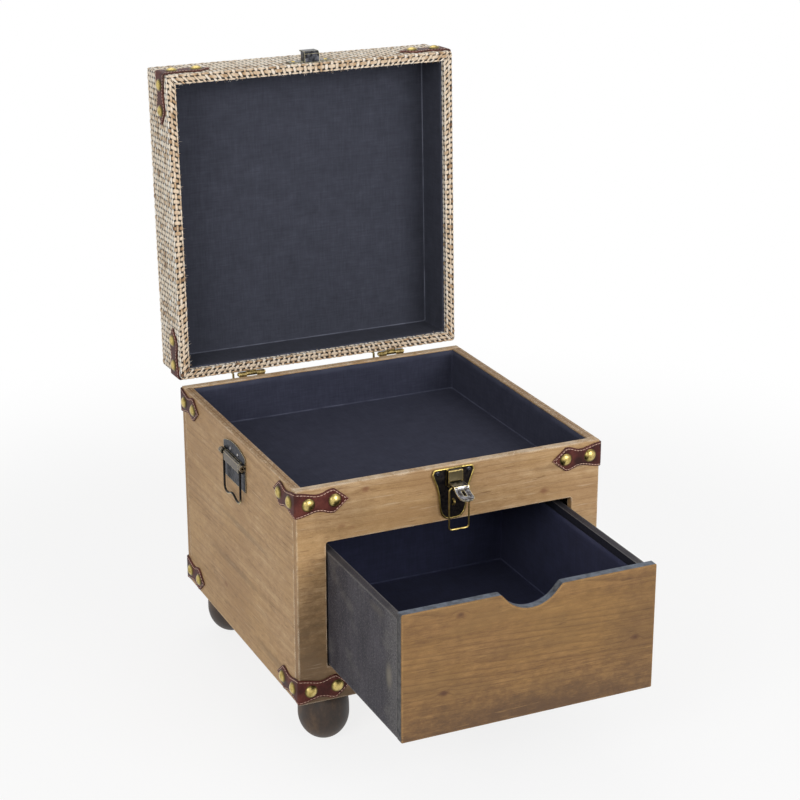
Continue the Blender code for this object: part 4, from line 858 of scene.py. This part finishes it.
def liningMaterial(name, look, folded):
    # plain cotton lining: matt, with a fine crossed thread drawn at 1.6 mm so that it shows
    material, add = startMaterial(name, Roughness=0.93, Specular_IOR_Level=look["shine"])
    place = add("TexCoord", output=3)
    across, along, upright = (noiseAlong(add, place, scale, 2.0, 0.6)
                              for scale in ((620, 60, 60), (60, 620, 60), (60, 60, 620)))
    crossed = add("Math ADD", add("Math ADD", across, along), upright)
    tone = add("Math MULTIPLY_ADD", crossed, 0.20, 0.135)
    tone = add("Math MULTIPLY_ADD", noiseAlong(add, place, (9, 9, 9)), 0.09, tone)
    colour = add("ValToRGB", tone, ramp=tones(look, 0.38, 0.5, 0.62))
    # paler along the edges and all over the seams: painted highlight where the folded cloth catches light
    rubbed = add("MapRange", noiseAlong(add, place, (30, 30, 30)), 0.35, 0.6, 0.15, 0.9)
    if not folded:
        rubbed = add("Math MULTIPLY", rubbed, edgeShare(add, 2.2 * mm))
    return finishMaterial(material, look, colour, [(rubbed, "fold")], (crossed, 0.2 * mm, 0.5))


def smoothWaves(points, seed, length):
    # a slow, even ripple from a few crossing waves, from -1 to 1
    roll = np.random.default_rng(seed)
    total = np.zeros(len(points))
    for _ in range(lining["waves"]):
        way = roll.normal(size=3)
        way /= np.linalg.norm(way)
        wave = length * roll.uniform(0.6, 1.7)
        total += np.sin(points @ way * 2 * math.pi / wave + roll.uniform(0, 6.3))
    return total / lining["waves"]


def liningSeam(name, size, centre, floorZ, material, body, seed, placing):
    # the folded seam that shows as a pale line where the walls meet the floor; its pale colour is a painted
    # highlight
    corner, inset, (straight, bent) = lining["seamCorner"], lining["seamInset"], lining["seamSteps"]
    spots = []
    for turns in range(4):
        halfX, halfY = (size.x, size.y) if turns % 2 == 0 else (size.y, size.x)
        halfX, halfY = halfX / 2 - inset, halfY / 2 - inset
        middle = Vector((halfX - corner, -halfY + corner, 0))
        side = [Vector((x, -halfY, 0)) for x in np.linspace(-halfX + corner, halfX - corner, straight)[:-1]]
        side += [middle + Vector((math.sin(a), -math.cos(a), 0)) * corner
                 for a in np.linspace(0, math.pi / 2, bent)[:-1]]
        spots += [quarterTurn(turns) @ p for p in side]
    spots = [p + centre for p in spots + spots[:1]]
    waves = smoothWaves(np.array(spots), seed, lining["seamWaveLength"])
    waves[-1] = waves[0]
    bm = bmesh.new()
    addTube(bm, [Vector((p.x, p.y, floorZ + lining["seamWave"] * w)) for p, w in zip(spots, waves)],
            [lining["seam"] * (1 + lining["seamSwell"] * w) for w in waves], lining["seamSides"])
    return makePiece(name, bm, material, body, (), placing)


def liningTray(name, low, high, openUp, cloths, body, slot, node, seed, restsOn, placing=None, notch=None):
    # an open tray of cloth: rounded inner corners, rippled a little, cut along its open edge
    inner, way = lining["cloth"] + lining["clear"], 1 if openUp else -1
    low = low + Vector((inner, inner, inner if openUp else 0))
    high = high - Vector((inner, inner, 0 if openUp else inner))
    size, centre = high - low, (low + high) / 2
    bm = bmesh.new()
    bmesh.ops.create_cube(bm, size=1.0)
    bmesh.ops.scale(bm, vec=size, verts=bm.verts[:])
    openFace = max(bm.faces, key=lambda f: f.calc_center_median().z * way)
    bmesh.ops.delete(bm, geom=[openFace], context="FACES_ONLY")
    bmesh.ops.bevel(bm, geom=[e for e in bm.edges if not e.is_boundary], offset=lining["corner"],
                    segments=lining["cornerSteps"], profile=0.5, affect="EDGES")
    for axis in range(3):
        count = max(int(size[axis] / lining["cell"]), 2)
        for k in range(1, count):
            spot, normal = Vector(), Vector()
            spot[axis] = size[axis] * (k / count - 0.5)
            normal[axis] = 1
            bmesh.ops.bisect_plane(bm, geom=bm.verts[:] + bm.edges[:] + bm.faces[:], plane_co=spot,
                                   plane_no=normal)
    bmesh.ops.reverse_faces(bm, faces=bm.faces[:])
    bm.normal_update()
    points = np.array([v.co for v in bm.verts])
    waves = smoothWaves(points, seed, lining["rippleLength"])
    trim = smoothWaves(points, seed + 1, lining["trimLength"])
    for vert, wave, cut in zip(bm.verts, waves, trim):
        vert.co += vert.normal * lining["ripple"] * (0.5 + 0.5 * wave)
        if abs(vert.co.z - way * size.z / 2) < lining["trimReach"]:
            vert.co.z -= way * lining["ripple"] * (1 + cut)
    bmesh.ops.translate(bm, vec=centre, verts=bm.verts[:])
    obj = makePiece(name, bm, cloths[0], body, (node,), placing, closed=False)
    thick = obj.modifiers.new("cloth", "SOLIDIFY")
    thick.thickness, thick.offset = lining["cloth"], -1.0
    if notch is not None:
        cutter = obj.modifiers.new("notch", "BOOLEAN")
        cutter.object, cutter.solver = notch, "EXACT"
    floorZ = (low.z if openUp else high.z) + way * lining["seamLift"]
    seam = liningSeam(name + "Seam", size, centre, floorZ, cloths[1], body, seed, placing)
    return obj


notch = {
    "chord": 61 * mm, "depth": 18.5 * mm, "clear": 0.8 * mm, "half": 20 * mm, "behind": 5 * mm,
    "sides": 96,
}


def notchCutter():
    # a round bar where the half moon goes through the cloth
    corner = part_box("drawer_front")[1]
    radius = (notch["chord"] ** 2 / 4 + notch["depth"] ** 2) / (2 * notch["depth"])
    placing = (Matrix.Translation((0, corner.y + notch["behind"], corner.z - notch["depth"] + radius))
               @ Matrix.Rotation(math.pi / 2, 4, "X"))
    grown, half = radius + notch["clear"], notch["half"]
    bm = bmesh.new()
    addTurned(bm, [(0, -half), (grown, -half), (grown, half), (0, half)], notch["sides"], placing)
    return newObject("notchCutter", bm)


shadedTrayCloths, liningCloths, drawerCloths = (
    (liningMaterial(cloth, look, False), liningMaterial(seam, look, True)) for cloth, seam, look in (
        ("trayLining", "trayLiningSeam", trayLookShaded), ("cottonLining", "cottonLiningSeam", lining),
        ("blackCottonLining", "blackCottonSeam", drawerLook)))
liningTray("compartmentLining", *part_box("tray_lining"), True, shadedTrayCloths, "case", "lining", "tray_lining",
           11, ["compartment_floor", "case_front_panel", "case_back_panel"])
liningTray("lidLining", *shutBox("lid_lining"), False, liningCloths, "lid", "lining", "lid_lining", 23,
           ["lid_top_board", "lid_front_rail", "lid_back_rail"], lidOpen)
cutter = notchCutter()
drawerLining = liningTray("drawerLining", *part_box("drawer_lining"), True, drawerCloths, "drawer",
                          "drawer_cloth", "drawer_lining", 37,
                          ["drawer_bottom", "drawer_front", "drawer_back"], notch=cutter)
cutLining = drawerLining.evaluated_get(bpy.context.evaluated_depsgraph_get())
cutMesh = bpy.data.meshes.new_from_object(cutLining)   # its modifiers applied, as the cutter goes
drawerLining.modifiers.clear()
drawerLining.data = cutMesh
bpy.data.objects.remove(cutter)
print("linings made")


# Leather corner straps with stitching and domed nails

strap = {
    "reach": 54 * mm, "halfHeight": 13.2 * mm, "thickness": 1.6 * mm, "lift": 0.3 * mm, "bend": 1.2 * mm,
    "outline": (   # shares of the reach and of the half height
        (0.0, 1.0), (0.14, 0.91), (0.26, 0.79), (0.38, 0.685), (0.50, 0.73), (0.61, 0.90),
        (0.685, 0.96), (0.735, 0.94), (0.82, 0.66), (0.91, 0.35), (1.0, 0.03),
    ),
    "waistSlope": -0.6, "shoulder": 0.735, "stations": 38, "bendStations": 7,
    "edge": (      # from the cut edge inwards in mm, share of the thickness: a stitched groove at 1.7
        (0.0, 0.30), (0.12, 0.72), (0.45, 0.96), (1.0, 1.0), (1.35, 0.96), (1.7, 0.82), (2.05, 0.96),
        (2.8, 1.0), (4.2, 1.03),
    ),
    "edgeRoom": 4.6 * mm,    # half height under which the edge's profile is squeezed
    "stitchLine": 1.7 * mm, "stitch": 2.8 * mm, "stitchGap": 0.7 * mm, "thread": 0.33 * mm,
    "lineSteps": 400, "lineLeast": 0.5 * mm,   # points of the seam's line, and height at which it stops
    "stitchSunk": 0.86, "stitchRise": (-0.25, 0.12, 0.2, 0.12, -0.25),   # share of the thickness, then mm
    "leather": "#4c2420", "leatherDark": "#2f1613", "leatherLight": "#6c3a31", "rawEdge": "#c39a88",
    "yarn": "#e4c3ad", "yarnShade": "#b58d7b",
}
nail = {
    "places": (0.225, 0.735),   # shares of the strap's reach
    "radius": 6.8 * mm, "height": 3.2 * mm, "sides": 28, "domeSteps": 9, "domeInset": 0.25 * mm,
    "lip": ((-0.1, -0.4), (0, -0.1), (0, 0.15), (-0.12, 0.35)),   # in mm from the radius, and height
    "sunk": 0.4 * mm, "lean": 0.03, "wander": 0.25 * mm,
    "brass": {"bright": "#d0ba76", "shade": "#917d40", "tarnish": "#3f361d", "roughness": 0.25},
}


def leatherMaterial(look):
    # oxblood bridle leather: even colour with darker creases, a waxed sheen and a paler cut edge
    material, add = startMaterial("oxbloodLeather", Specular_IOR_Level=0.16)
    place = add("TexCoord", output=3)
    cloudy = add("TexNoise", place, 55.0, 5.0, 0.6)
    colour = add("ValToRGB", cloudy, ramp=((0.34, look["leatherDark"]), (0.52, look["leather"]),
                                           (0.74, look["leatherLight"])))
    rubbed = add("Math MULTIPLY", edgeShare(add, 0.9 * mm, 0.01, 0.08), 0.95)
    pores = add("TexVoronoi", place, 1100.0, feature="SMOOTH_F1")
    relief = add("Math MULTIPLY_ADD", pores, 0.5, add("TexNoise", place, 260.0, 3.0))
    return finishMaterial(material, look, colour, [(rubbed, "rawEdge")], (relief, 0.2 * mm, 0.45),
                          (cloudy, 0.42, 0.58))


def yarnMaterial(look):
    # waxed linen sewing thread: pale, twisted, with a slight shine
    material, add = startMaterial("waxedLinenThread", Roughness=0.7)
    twist = add("TexWave", add("TexCoord", output=3), 480.0, 1.0, wave_type="BANDS",
                bands_direction="DIAGONAL")
    return finishMaterial(material, look, look["yarn"], [(twist, "yarnShade")], (twist, 0.1 * mm, 0.5))


def brassMaterial(name, look):
    # polished brass that has dulled a little: warm yellow with olive clouds and dark pin marks; painted
    # shade darkens its undersides and the nails' lips
    material, add = startMaterial(name, Metallic=1.0)
    place = add("TexCoord", output=3)
    cloudy = add("TexNoise", place, 210.0, 5.0, 0.65)
    colour = add("ValToRGB", cloudy, ramp=((0.30, look["shade"]), (0.56, look["bright"])))
    pits = add("MapRange", add("TexNoise", place, 900.0, 2.0), 0.62, 0.72, 0.0, 0.8)
    under = add("Math MULTIPLY", facing(add, 2, -1, 0.2, 1.0), 0.6)   # painted shade: faces that look down are darkened
    rim = add("Attribute", attribute_name="rim", output=2)   # 1 at a nail's lip, which painted shade darkens
    rim = add("MapRange SMOOTHSTEP", rim, 0.62, 0.98, 0.0, 0.9)
    return finishMaterial(material, look, colour, [(share, "tarnish") for share in (pits, under, rim)],
                          (cloudy, 0.2 * mm, 0.12), (cloudy, look["roughness"] + 0.14, look["roughness"]))


def strapHalfHeight(along):
    # smooth waist as far as the shoulder, then straight to the point
    shares = np.array(strap["outline"])
    position = np.abs(along) / strap["reach"]
    slopes = np.gradient(shares[:, 1], shares[:, 0])
    slopes[0] = strap["waistSlope"]
    k = np.clip(np.searchsorted(shares[:, 0], position, side="right") - 1, 0, len(shares) - 2)
    gap = shares[k + 1, 0] - shares[k, 0]
    t = (position - shares[k, 0]) / gap
    curved = ((2 * t ** 3 - 3 * t ** 2 + 1) * shares[k, 1] + (t ** 3 - 2 * t ** 2 + t) * gap * slopes[k]
              + (-2 * t ** 3 + 3 * t ** 2) * shares[k + 1, 1] + (t ** 3 - t ** 2) * gap * slopes[k + 1])
    straight = shares[k, 1] + t * (shares[k + 1, 1] - shares[k, 1])
    return strap["halfHeight"] * np.where(position > strap["shoulder"], straight, curved)


def strapPlace(along, tall, out):
    # a point of the strap, bent round the corner at the origin: faces look along -Y and +X
    bend = strap["bend"]
    if along <= -bend:
        spot, outward = Vector((along, 0, 0)), Vector((0, -1, 0))
    elif along >= bend:
        spot, outward = Vector((0, along, 0)), Vector((1, 0, 0))
    else:
        angle = (along / bend - 1) * math.pi / 4
        outward = Vector((math.cos(angle), math.sin(angle), 0))
        spot = Vector((-bend, bend, 0)) + outward * bend
    return spot + outward * (strap["lift"] + out) + Vector((0, 0, tall))


def strapLeather():
    bend = strap["bend"]
    flat = np.linspace(bend, strap["reach"], strap["stations"])
    bm = bmesh.new()
    rings = []
    for along in np.concatenate([-flat[::-1], np.linspace(-bend, bend, strap["bendStations"])[1:-1], flat]):
        half = float(strapHalfHeight(np.array(along)))
        squeeze = min(1.0, half / strap["edgeRoom"])
        profile = [(half - inside * mm * squeeze, share * strap["thickness"]) for inside,
                   share in strap["edge"]]
        section = [(-tall, out) for tall, out in profile] + profile[::-1] + [(half, 0.0), (-half, 0.0)]
        rings.append([bm.verts.new(strapPlace(along, tall, out)) for tall, out in section])
    joinRings(bm, rings)
    return bm


def stitchLine():
    # upper half of the seam, inside the cut edge, from point to point
    along = np.linspace(-strap["reach"], strap["reach"], strap["lineSteps"])
    tall = strapHalfHeight(along)
    slope = np.gradient(tall, along)
    shift = strap["stitchLine"] / np.sqrt(1 + slope ** 2)
    inward = np.stack([along + slope * shift, tall - shift], 1)
    keep = (inward[:, 1] > strap["lineLeast"]) & (np.diff(inward[:, 0], prepend=inward[0, 0] - 1) > 0)
    return inward[keep]


def strapStitches():
    line = stitchLine()
    run = runAlong(line)
    count = int(run[-1] / (strap["stitch"] + strap["stitchGap"]))
    bm = bmesh.new()
    for half in (1, -1):
        for k in range(count):
            start = k * run[-1] / count + strap["stitchGap"] / 2
            path = []
            for step, rise in zip(np.linspace(start, start + strap["stitch"], 5), strap["stitchRise"]):
                along, tall = (np.interp(step, run, line[:, j]) for j in (0, 1))
                path.append(strapPlace(along, half * tall,
                                       strap["stitchSunk"] * strap["thickness"] + rise * mm))
            addTube(bm, path, strap["thread"])
    return bm


def strapNails(seed):
    # four spun brass domes with a thin turned-down lip, each a little off true
    roll = np.random.default_rng(seed)
    radius, height = nail["radius"], nail["height"]
    sphere = (radius ** 2 + height ** 2) / (2 * height)
    sweep = math.asin((radius - nail["domeInset"]) / sphere)
    profile = [(0, -nail["sunk"])] + [(radius + out * mm, rise * mm) for out, rise in nail["lip"]]
    profile += [(sphere * math.sin(a), height - sphere * (1 - math.cos(a)))
                for a in np.linspace(sweep, 0, nail["domeSteps"])[:-1]] + [(0, height)]
    bm = bmesh.new()
    rim = bm.verts.layers.float.new("rim")
    for share in nail["places"]:
        along = strap["reach"] * share
        for spot, outward in ((Vector((-along, 0, 0)), Vector((0, -1, 0))),
                              (Vector((0, along, 0)), Vector((1, 0, 0)))):
            lean = Vector(roll.normal(0, nail["lean"], 3))
            wander = Vector(roll.normal(0, nail["wander"], 3))
            wander -= outward * wander.dot(outward)
            placing = standOn(spot + outward * (strap["lift"] + strap["thickness"]) + wander,
                              outward + lean)
            done = len(bm.verts)
            addTurned(bm, profile, nail["sides"], placing)
            back = placing.inverted()
            bm.verts.ensure_lookup_table()
            # share of the radius, by which the brass darkens each nail's lip as painted shade
            for v in bm.verts[done:]:
                v[rim] = (back @ v.co).xy.length / radius
    return bm


leather = leatherMaterial(strap)
yarn = yarnMaterial(strap)
nailBrass = brassMaterial("polishedBrassNails", nail["brass"])


def dressCorner(node, placing, body, seed):
    name = "".join(word.capitalize() for word in node.split("_"))
    makePiece("leather" + name, strapLeather(), leather, body, (node,), placing)
    makePiece("stitches" + name, strapStitches(), yarn, body, (), placing)
    makePiece("nails" + name, strapNails(seed), nailBrass, body, (), placing)


caseLow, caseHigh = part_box("case_left_panel")[0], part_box("case_right_panel")[1]
caseLow.y, caseHigh.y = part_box("case_front_panel")[0].y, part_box("case_back_panel")[1].y
seed = 100
for turns, corner in enumerate(("front_right", "rear_right", "rear_left", "front_left")):
    for level in ("strap_top_", "strap_bottom_", "lid_strap_"):
        node, onLid = level + corner, level == "lid_strap_"
        low, high = shutBox(node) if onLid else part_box(node)
        near, far = (coverLow, coverHigh) if onLid else (caseLow, caseHigh)
        spot = (far.x if "right" in corner else near.x, far.y if "rear" in corner else near.y,
                (low.z + high.z) / 2)
        placing = (lidOpen if onLid else Matrix()) @ Matrix.Translation(spot) @ quarterTurn(turns)
        dressCorner(node, placing, "lid" if onLid else "case", seed)
        seed += 1
print("corner straps made")


# Metal fittings

metals = {
    # a finish, its colours and grain, how wide its edges are rubbed, and the nodes that have it;
    # high is the axis, start, end and colour of what stands proud and is rubbed too
    # the underside colour is painted light on faces that look down: shade on most, a highlight on the wire
    "antiqueBrassPlate": {
        "field": "#1d1b1f", "cloud": "#3b3531", "edge": "#d3b667", "under": "#3a2f1c", "roughness": 0.38,
        "grain": 260, "high": (1, 0.1262, 0.1276), "proud": "#74684c", "rubbed": 1.0 * mm,
        "nodes": ("latch_base_plate",)},
    "blackenedSteel": {
        "field": "#1d1e24", "cloud": "#43444c", "edge": "#e6d8b0", "under": "#1d1d1f", "roughness": 0.38,
        "grain": 300, "high": (0, 0.1690, 0.1698), "proud": "#766e64", "rubbed": 0.7 * mm,
        "nodes": ("handle_plate_left", "handle_plate_right")},
    "blackenedWire": {
        "field": "#131212", "cloud": "#2b2825", "edge": "#2b2825", "under": "#dccb9c", "roughness": 0.25,
        "grain": 240, "underFrom": (0.0, 0.5), "rubbed": 0.5 * mm,
        "nodes": ("handle_bail_left", "handle_bail_right")},
    # the lever's dark and pale clouds are painted reflections on its nickel
    "wornNickelLever": {
        "field": "#37322f", "cloud": "#94949a", "edge": "#ead9a4", "under": "#6d6353", "roughness": 0.3,
        "grain": 330, "rubbed": 0.8 * mm, "nodes": ("latch_lever",)},
    "wornNickelCatch": {
        "field": "#1f1f21", "cloud": "#56575c", "edge": "#b9b08d", "under": "#222120", "roughness": 0.3,
        "grain": 200, "rubbed": 0.8 * mm, "nodes": ("lid_catch",)},
    "dulledBrassHinge": {
        "field": "#4b4027", "cloud": "#85744a", "edge": "#d0ba80", "under": "#33291a", "roughness": 0.33,
        "grain": 220, "rubbed": 0.6 * mm,
        "nodes": [f"hinge_{part}_{side}" for part in ("case_leaf", "lid_leaf", "pin")
                  for side in ("left", "right")]},
    "bluedSteelScrews": {
        "field": "#26262b", "cloud": "#4b4b52", "edge": "#a9a9ae", "under": "#1b1b1e", "roughness": 0.3,
        "grain": 300, "rubbed": 0.3 * mm, "nodes": ()},
}
loopBrass = {"bright": "#b9a263", "shade": "#857344", "tarnish": "#564a2c", "roughness": 0.28}
beadBrass = {"bright": "#dcc272", "shade": "#a08a4c", "tarnish": "#4a3d22", "roughness": 0.26}
latch = {
    "proud": 2.4 * mm,        # face of the base plate, from the case
    "top": 1.7 * mm,          # below the rim
    "height": 54 * mm, "halfWidth": 22.8 * mm,
    "outline": (              # right half from the top: shares across and down
        (0.80, 0.0), (0.93, 0.020), (1.0, 0.095), (0.93, 0.18), (0.79, 0.34), (0.70, 0.50),
        (0.655, 0.66), (0.63, 0.78), (0.56, 0.88), (0.40, 0.96), (0.19, 0.995),
    ),
    "bead": 0.95 * mm, "beadInset": 0.75 * mm, "beadSunk": 0.35 * mm, "beadCuts": (0.25, 0.08),
    "bottomShadeFrom": 0.4, "dull": (0.6, 0.92),   # share of the height, and the painted shade that darkens the bead from there down
    "screws": (               # across, below the rim, radius, height, turn
        (-16.7 * mm, 6.2 * mm, 2.6 * mm, 0.8 * mm, 0.4), (16.7 * mm, 6.2 * mm, 2.6 * mm, 0.8 * mm, 1.3),
        (-4.6 * mm, 42.4 * mm, 2.4 * mm, 0.2 * mm, 2.2),
    ),
}
catch = {
    "screws": ((-18.5 * mm, 0.7), (18.5 * mm, 1.7)),   # across, turn
    "in": 10.7 * mm, "up": 11.7 * mm, "radius": 2.3 * mm, "height": 0.8 * mm,
}
screw = {
    "sides": 48, "rings": 10, "fullness": 2.4, "skirt": 0.5 * mm,
    "slotWidth": 0.13, "slotReach": 0.56, "deep": 0.30, "shallow": 0.14, "flatUnder": 0.4 * mm,
}
rivet = {
    "places": ((-10.5 * mm, 7.4 * mm), (10.5 * mm, 7.4 * mm)),   # across, above the handle's axis
    "face": 1.4 * mm,         # the handle plate's, from the case
    "radius": 2.1 * mm, "rim": 0.1 * mm, "dome": 1.0 * mm, "sunk": 0.4 * mm, "sides": 24,
    "arc": (0.2, 1.4, 6),     # radians up from the rim, and steps
}


def patinaMaterial(name, look):
    # lacquered metal: a dark brown patina, rubbed back to bright metal along every edge; faces that look
    # down get painted shade, and on the wire a painted highlight
    material, add = startMaterial(name, Metallic=1.0)
    place = add("TexCoord", output=3)
    cloudy = add("TexNoise", place, look["grain"], 5.0, 0.6)
    colour = add("ValToRGB", cloudy, ramp=((0.40, look["field"]), (0.62, look["cloud"])))
    layers = []
    if "high" in look:
        axis, start, end = look["high"]
        raised = add("Math ABSOLUTE", add("SeparateXYZ", place, output=axis))
        layers.append((add("MapRange", raised, start, end, 0.0, 0.8), "proud"))
    # painted light on faces that look down: shade, and on the wire a highlight
    under = add("Math MULTIPLY", facing(add, 2, -1, *look.get("underFrom", (0.2, 0.9))), 0.8)
    patchy = add("MapRange", cloudy, 0.3, 0.5, 0.65, 1.0)
    rubbed = add("Math MULTIPLY", edgeShare(add, look["rubbed"], 0.01, 0.07), patchy)
    return finishMaterial(material, look, colour, layers + [(under, "under"), (rubbed, "edge")],
                          (cloudy, 0.25 * mm, 0.35), (cloudy, look["roughness"] + 0.12, look["roughness"]))


def latchBead():
    # the plate's rolled rim
    top = caseHigh.z - latch["top"]
    halfWidth, height, inset = latch["halfWidth"], latch["height"], latch["beadInset"]
    right = [(halfWidth * x - inset, top - height * z) for x, z in latch["outline"]]
    right[0] = (right[0][0] + inset, top - inset)
    right[-1] = (right[-1][0], right[-1][1] + inset)
    y = caseLow.y - latch["proud"] + latch["beadSunk"]
    loop = [Vector((x, y, z)) for x, z in right + [(-x, z) for x, z in reversed(right)]]
    path = []
    for k, here in enumerate(loop):   # corners cut twice, so that the bead runs smoothly
        path += [here.lerp(loop[k - 1], share) for share in latch["beadCuts"]]
        path += [here.lerp(loop[(k + 1) % len(loop)], share) for share in latch["beadCuts"][::-1]]
    bm = bmesh.new()
    rim = bm.verts.layers.float.new("rim")
    addTube(bm, path + path[:1], latch["bead"], 10)
    for v in bm.verts:   # darker towards the bottom: painted shade
        v[rim] = float(np.interp(top - v.co.z, (latch["bottomShadeFrom"] * height, height), latch["dull"]))
    return bm


def addScrew(bm, radius, rise, placing):
    # a round head with a cross recess, from rings that sink where the driver goes
    sink = screw["deep"] if rise > screw["flatUnder"] else screw["shallow"]
    rings = []
    for j in range(screw["rings"] + 1):
        reach = j / screw["rings"]
        ring = []
        for k in range(screw["sides"] if j else 1):
            angle = 2 * math.pi * k / screw["sides"]
            x, y = reach * math.cos(angle), reach * math.sin(angle)
            inSlot = min(abs(x), abs(y)) < screw["slotWidth"] and max(abs(x), abs(y)) < screw["slotReach"]
            z = rise * (1 - reach ** screw["fullness"]) - (radius * sink if inSlot else 0)
            ring.append(bm.verts.new(placing @ Vector((radius * x, radius * y, z))))
        rings.append(ring)
    skirt = placing.to_3x3() @ Vector((0, 0, screw["skirt"]))
    rings.append([bm.verts.new(v.co - skirt) for v in rings[-1]])
    joinRings(bm, rings)


def addScrews(places):
    # place, radius, height and turn of screws that look forward
    bm = bmesh.new()
    for place, radius, height, turn in places:
        addScrew(bm, radius, height, standOn(place, (0, -1, 0)) @ Matrix.Rotation(turn, 4, "Z"))
    return bm


def handleRivets(side):
    axis = Vector(jointNamed("handle_hinge_" + side)["pos_m"])
    way = -1 if side == "left" else 1
    face = (caseLow.x if way < 0 else caseHigh.x) + way * rivet["face"]
    radius, rim, dome = rivet["radius"], rivet["rim"], rivet["dome"]
    profile = [(0, -rivet["sunk"]), (radius, -rivet["sunk"]), (radius, rim)]
    profile += [(radius * math.cos(a), rim + dome * math.sin(a)) for a in np.linspace(*rivet["arc"])]
    bm = bmesh.new()
    for across, rise in rivet["places"]:
        placing = standOn((face, axis.y + across, axis.z + rise), (way, 0, 0))
        addTurned(bm, profile + [(0, rim + dome)], rivet["sides"], placing)
    return bm


finishes = {name: patinaMaterial(name, look) for name, look in metals.items()}
for name, look in metals.items():
    dress(finishes[name], *look["nodes"])
beadMetal = brassMaterial("rubbedBrassRim", beadBrass)
dress(brassMaterial("brassWire", loopBrass), "latch_loop", "latch_loop_sleeve")
for name, node in frame["nodes"].items():
    if any(word in name for word in ("latch", "catch", "handle", "hinge")):
        roundedShading(node)
makePiece("latchBead", latchBead(), beadMetal, "case")
plateY = caseLow.y - latch["proud"]
makePiece("latchScrews",
          addScrews([((x, plateY, caseHigh.z - below), *head) for x, below, *head in latch["screws"]]),
          finishes["bluedSteelScrews"], "case")
catchY, catchZ = shutBox("lid_catch")[0].y + catch["in"], coverLow.z + catch["up"]
makePiece("catchScrews", addScrews([((x, catchY, catchZ), catch["radius"], catch["height"], turn)
                                    for x, turn in catch["screws"]]),
          beadMetal, "lid", (), lidOpen)
for side in ("left", "right"):
    makePiece(f"handleRivets_{side}", handleRivets(side), finishes["wornNickelLever"], "case")
print("metal fittings made")
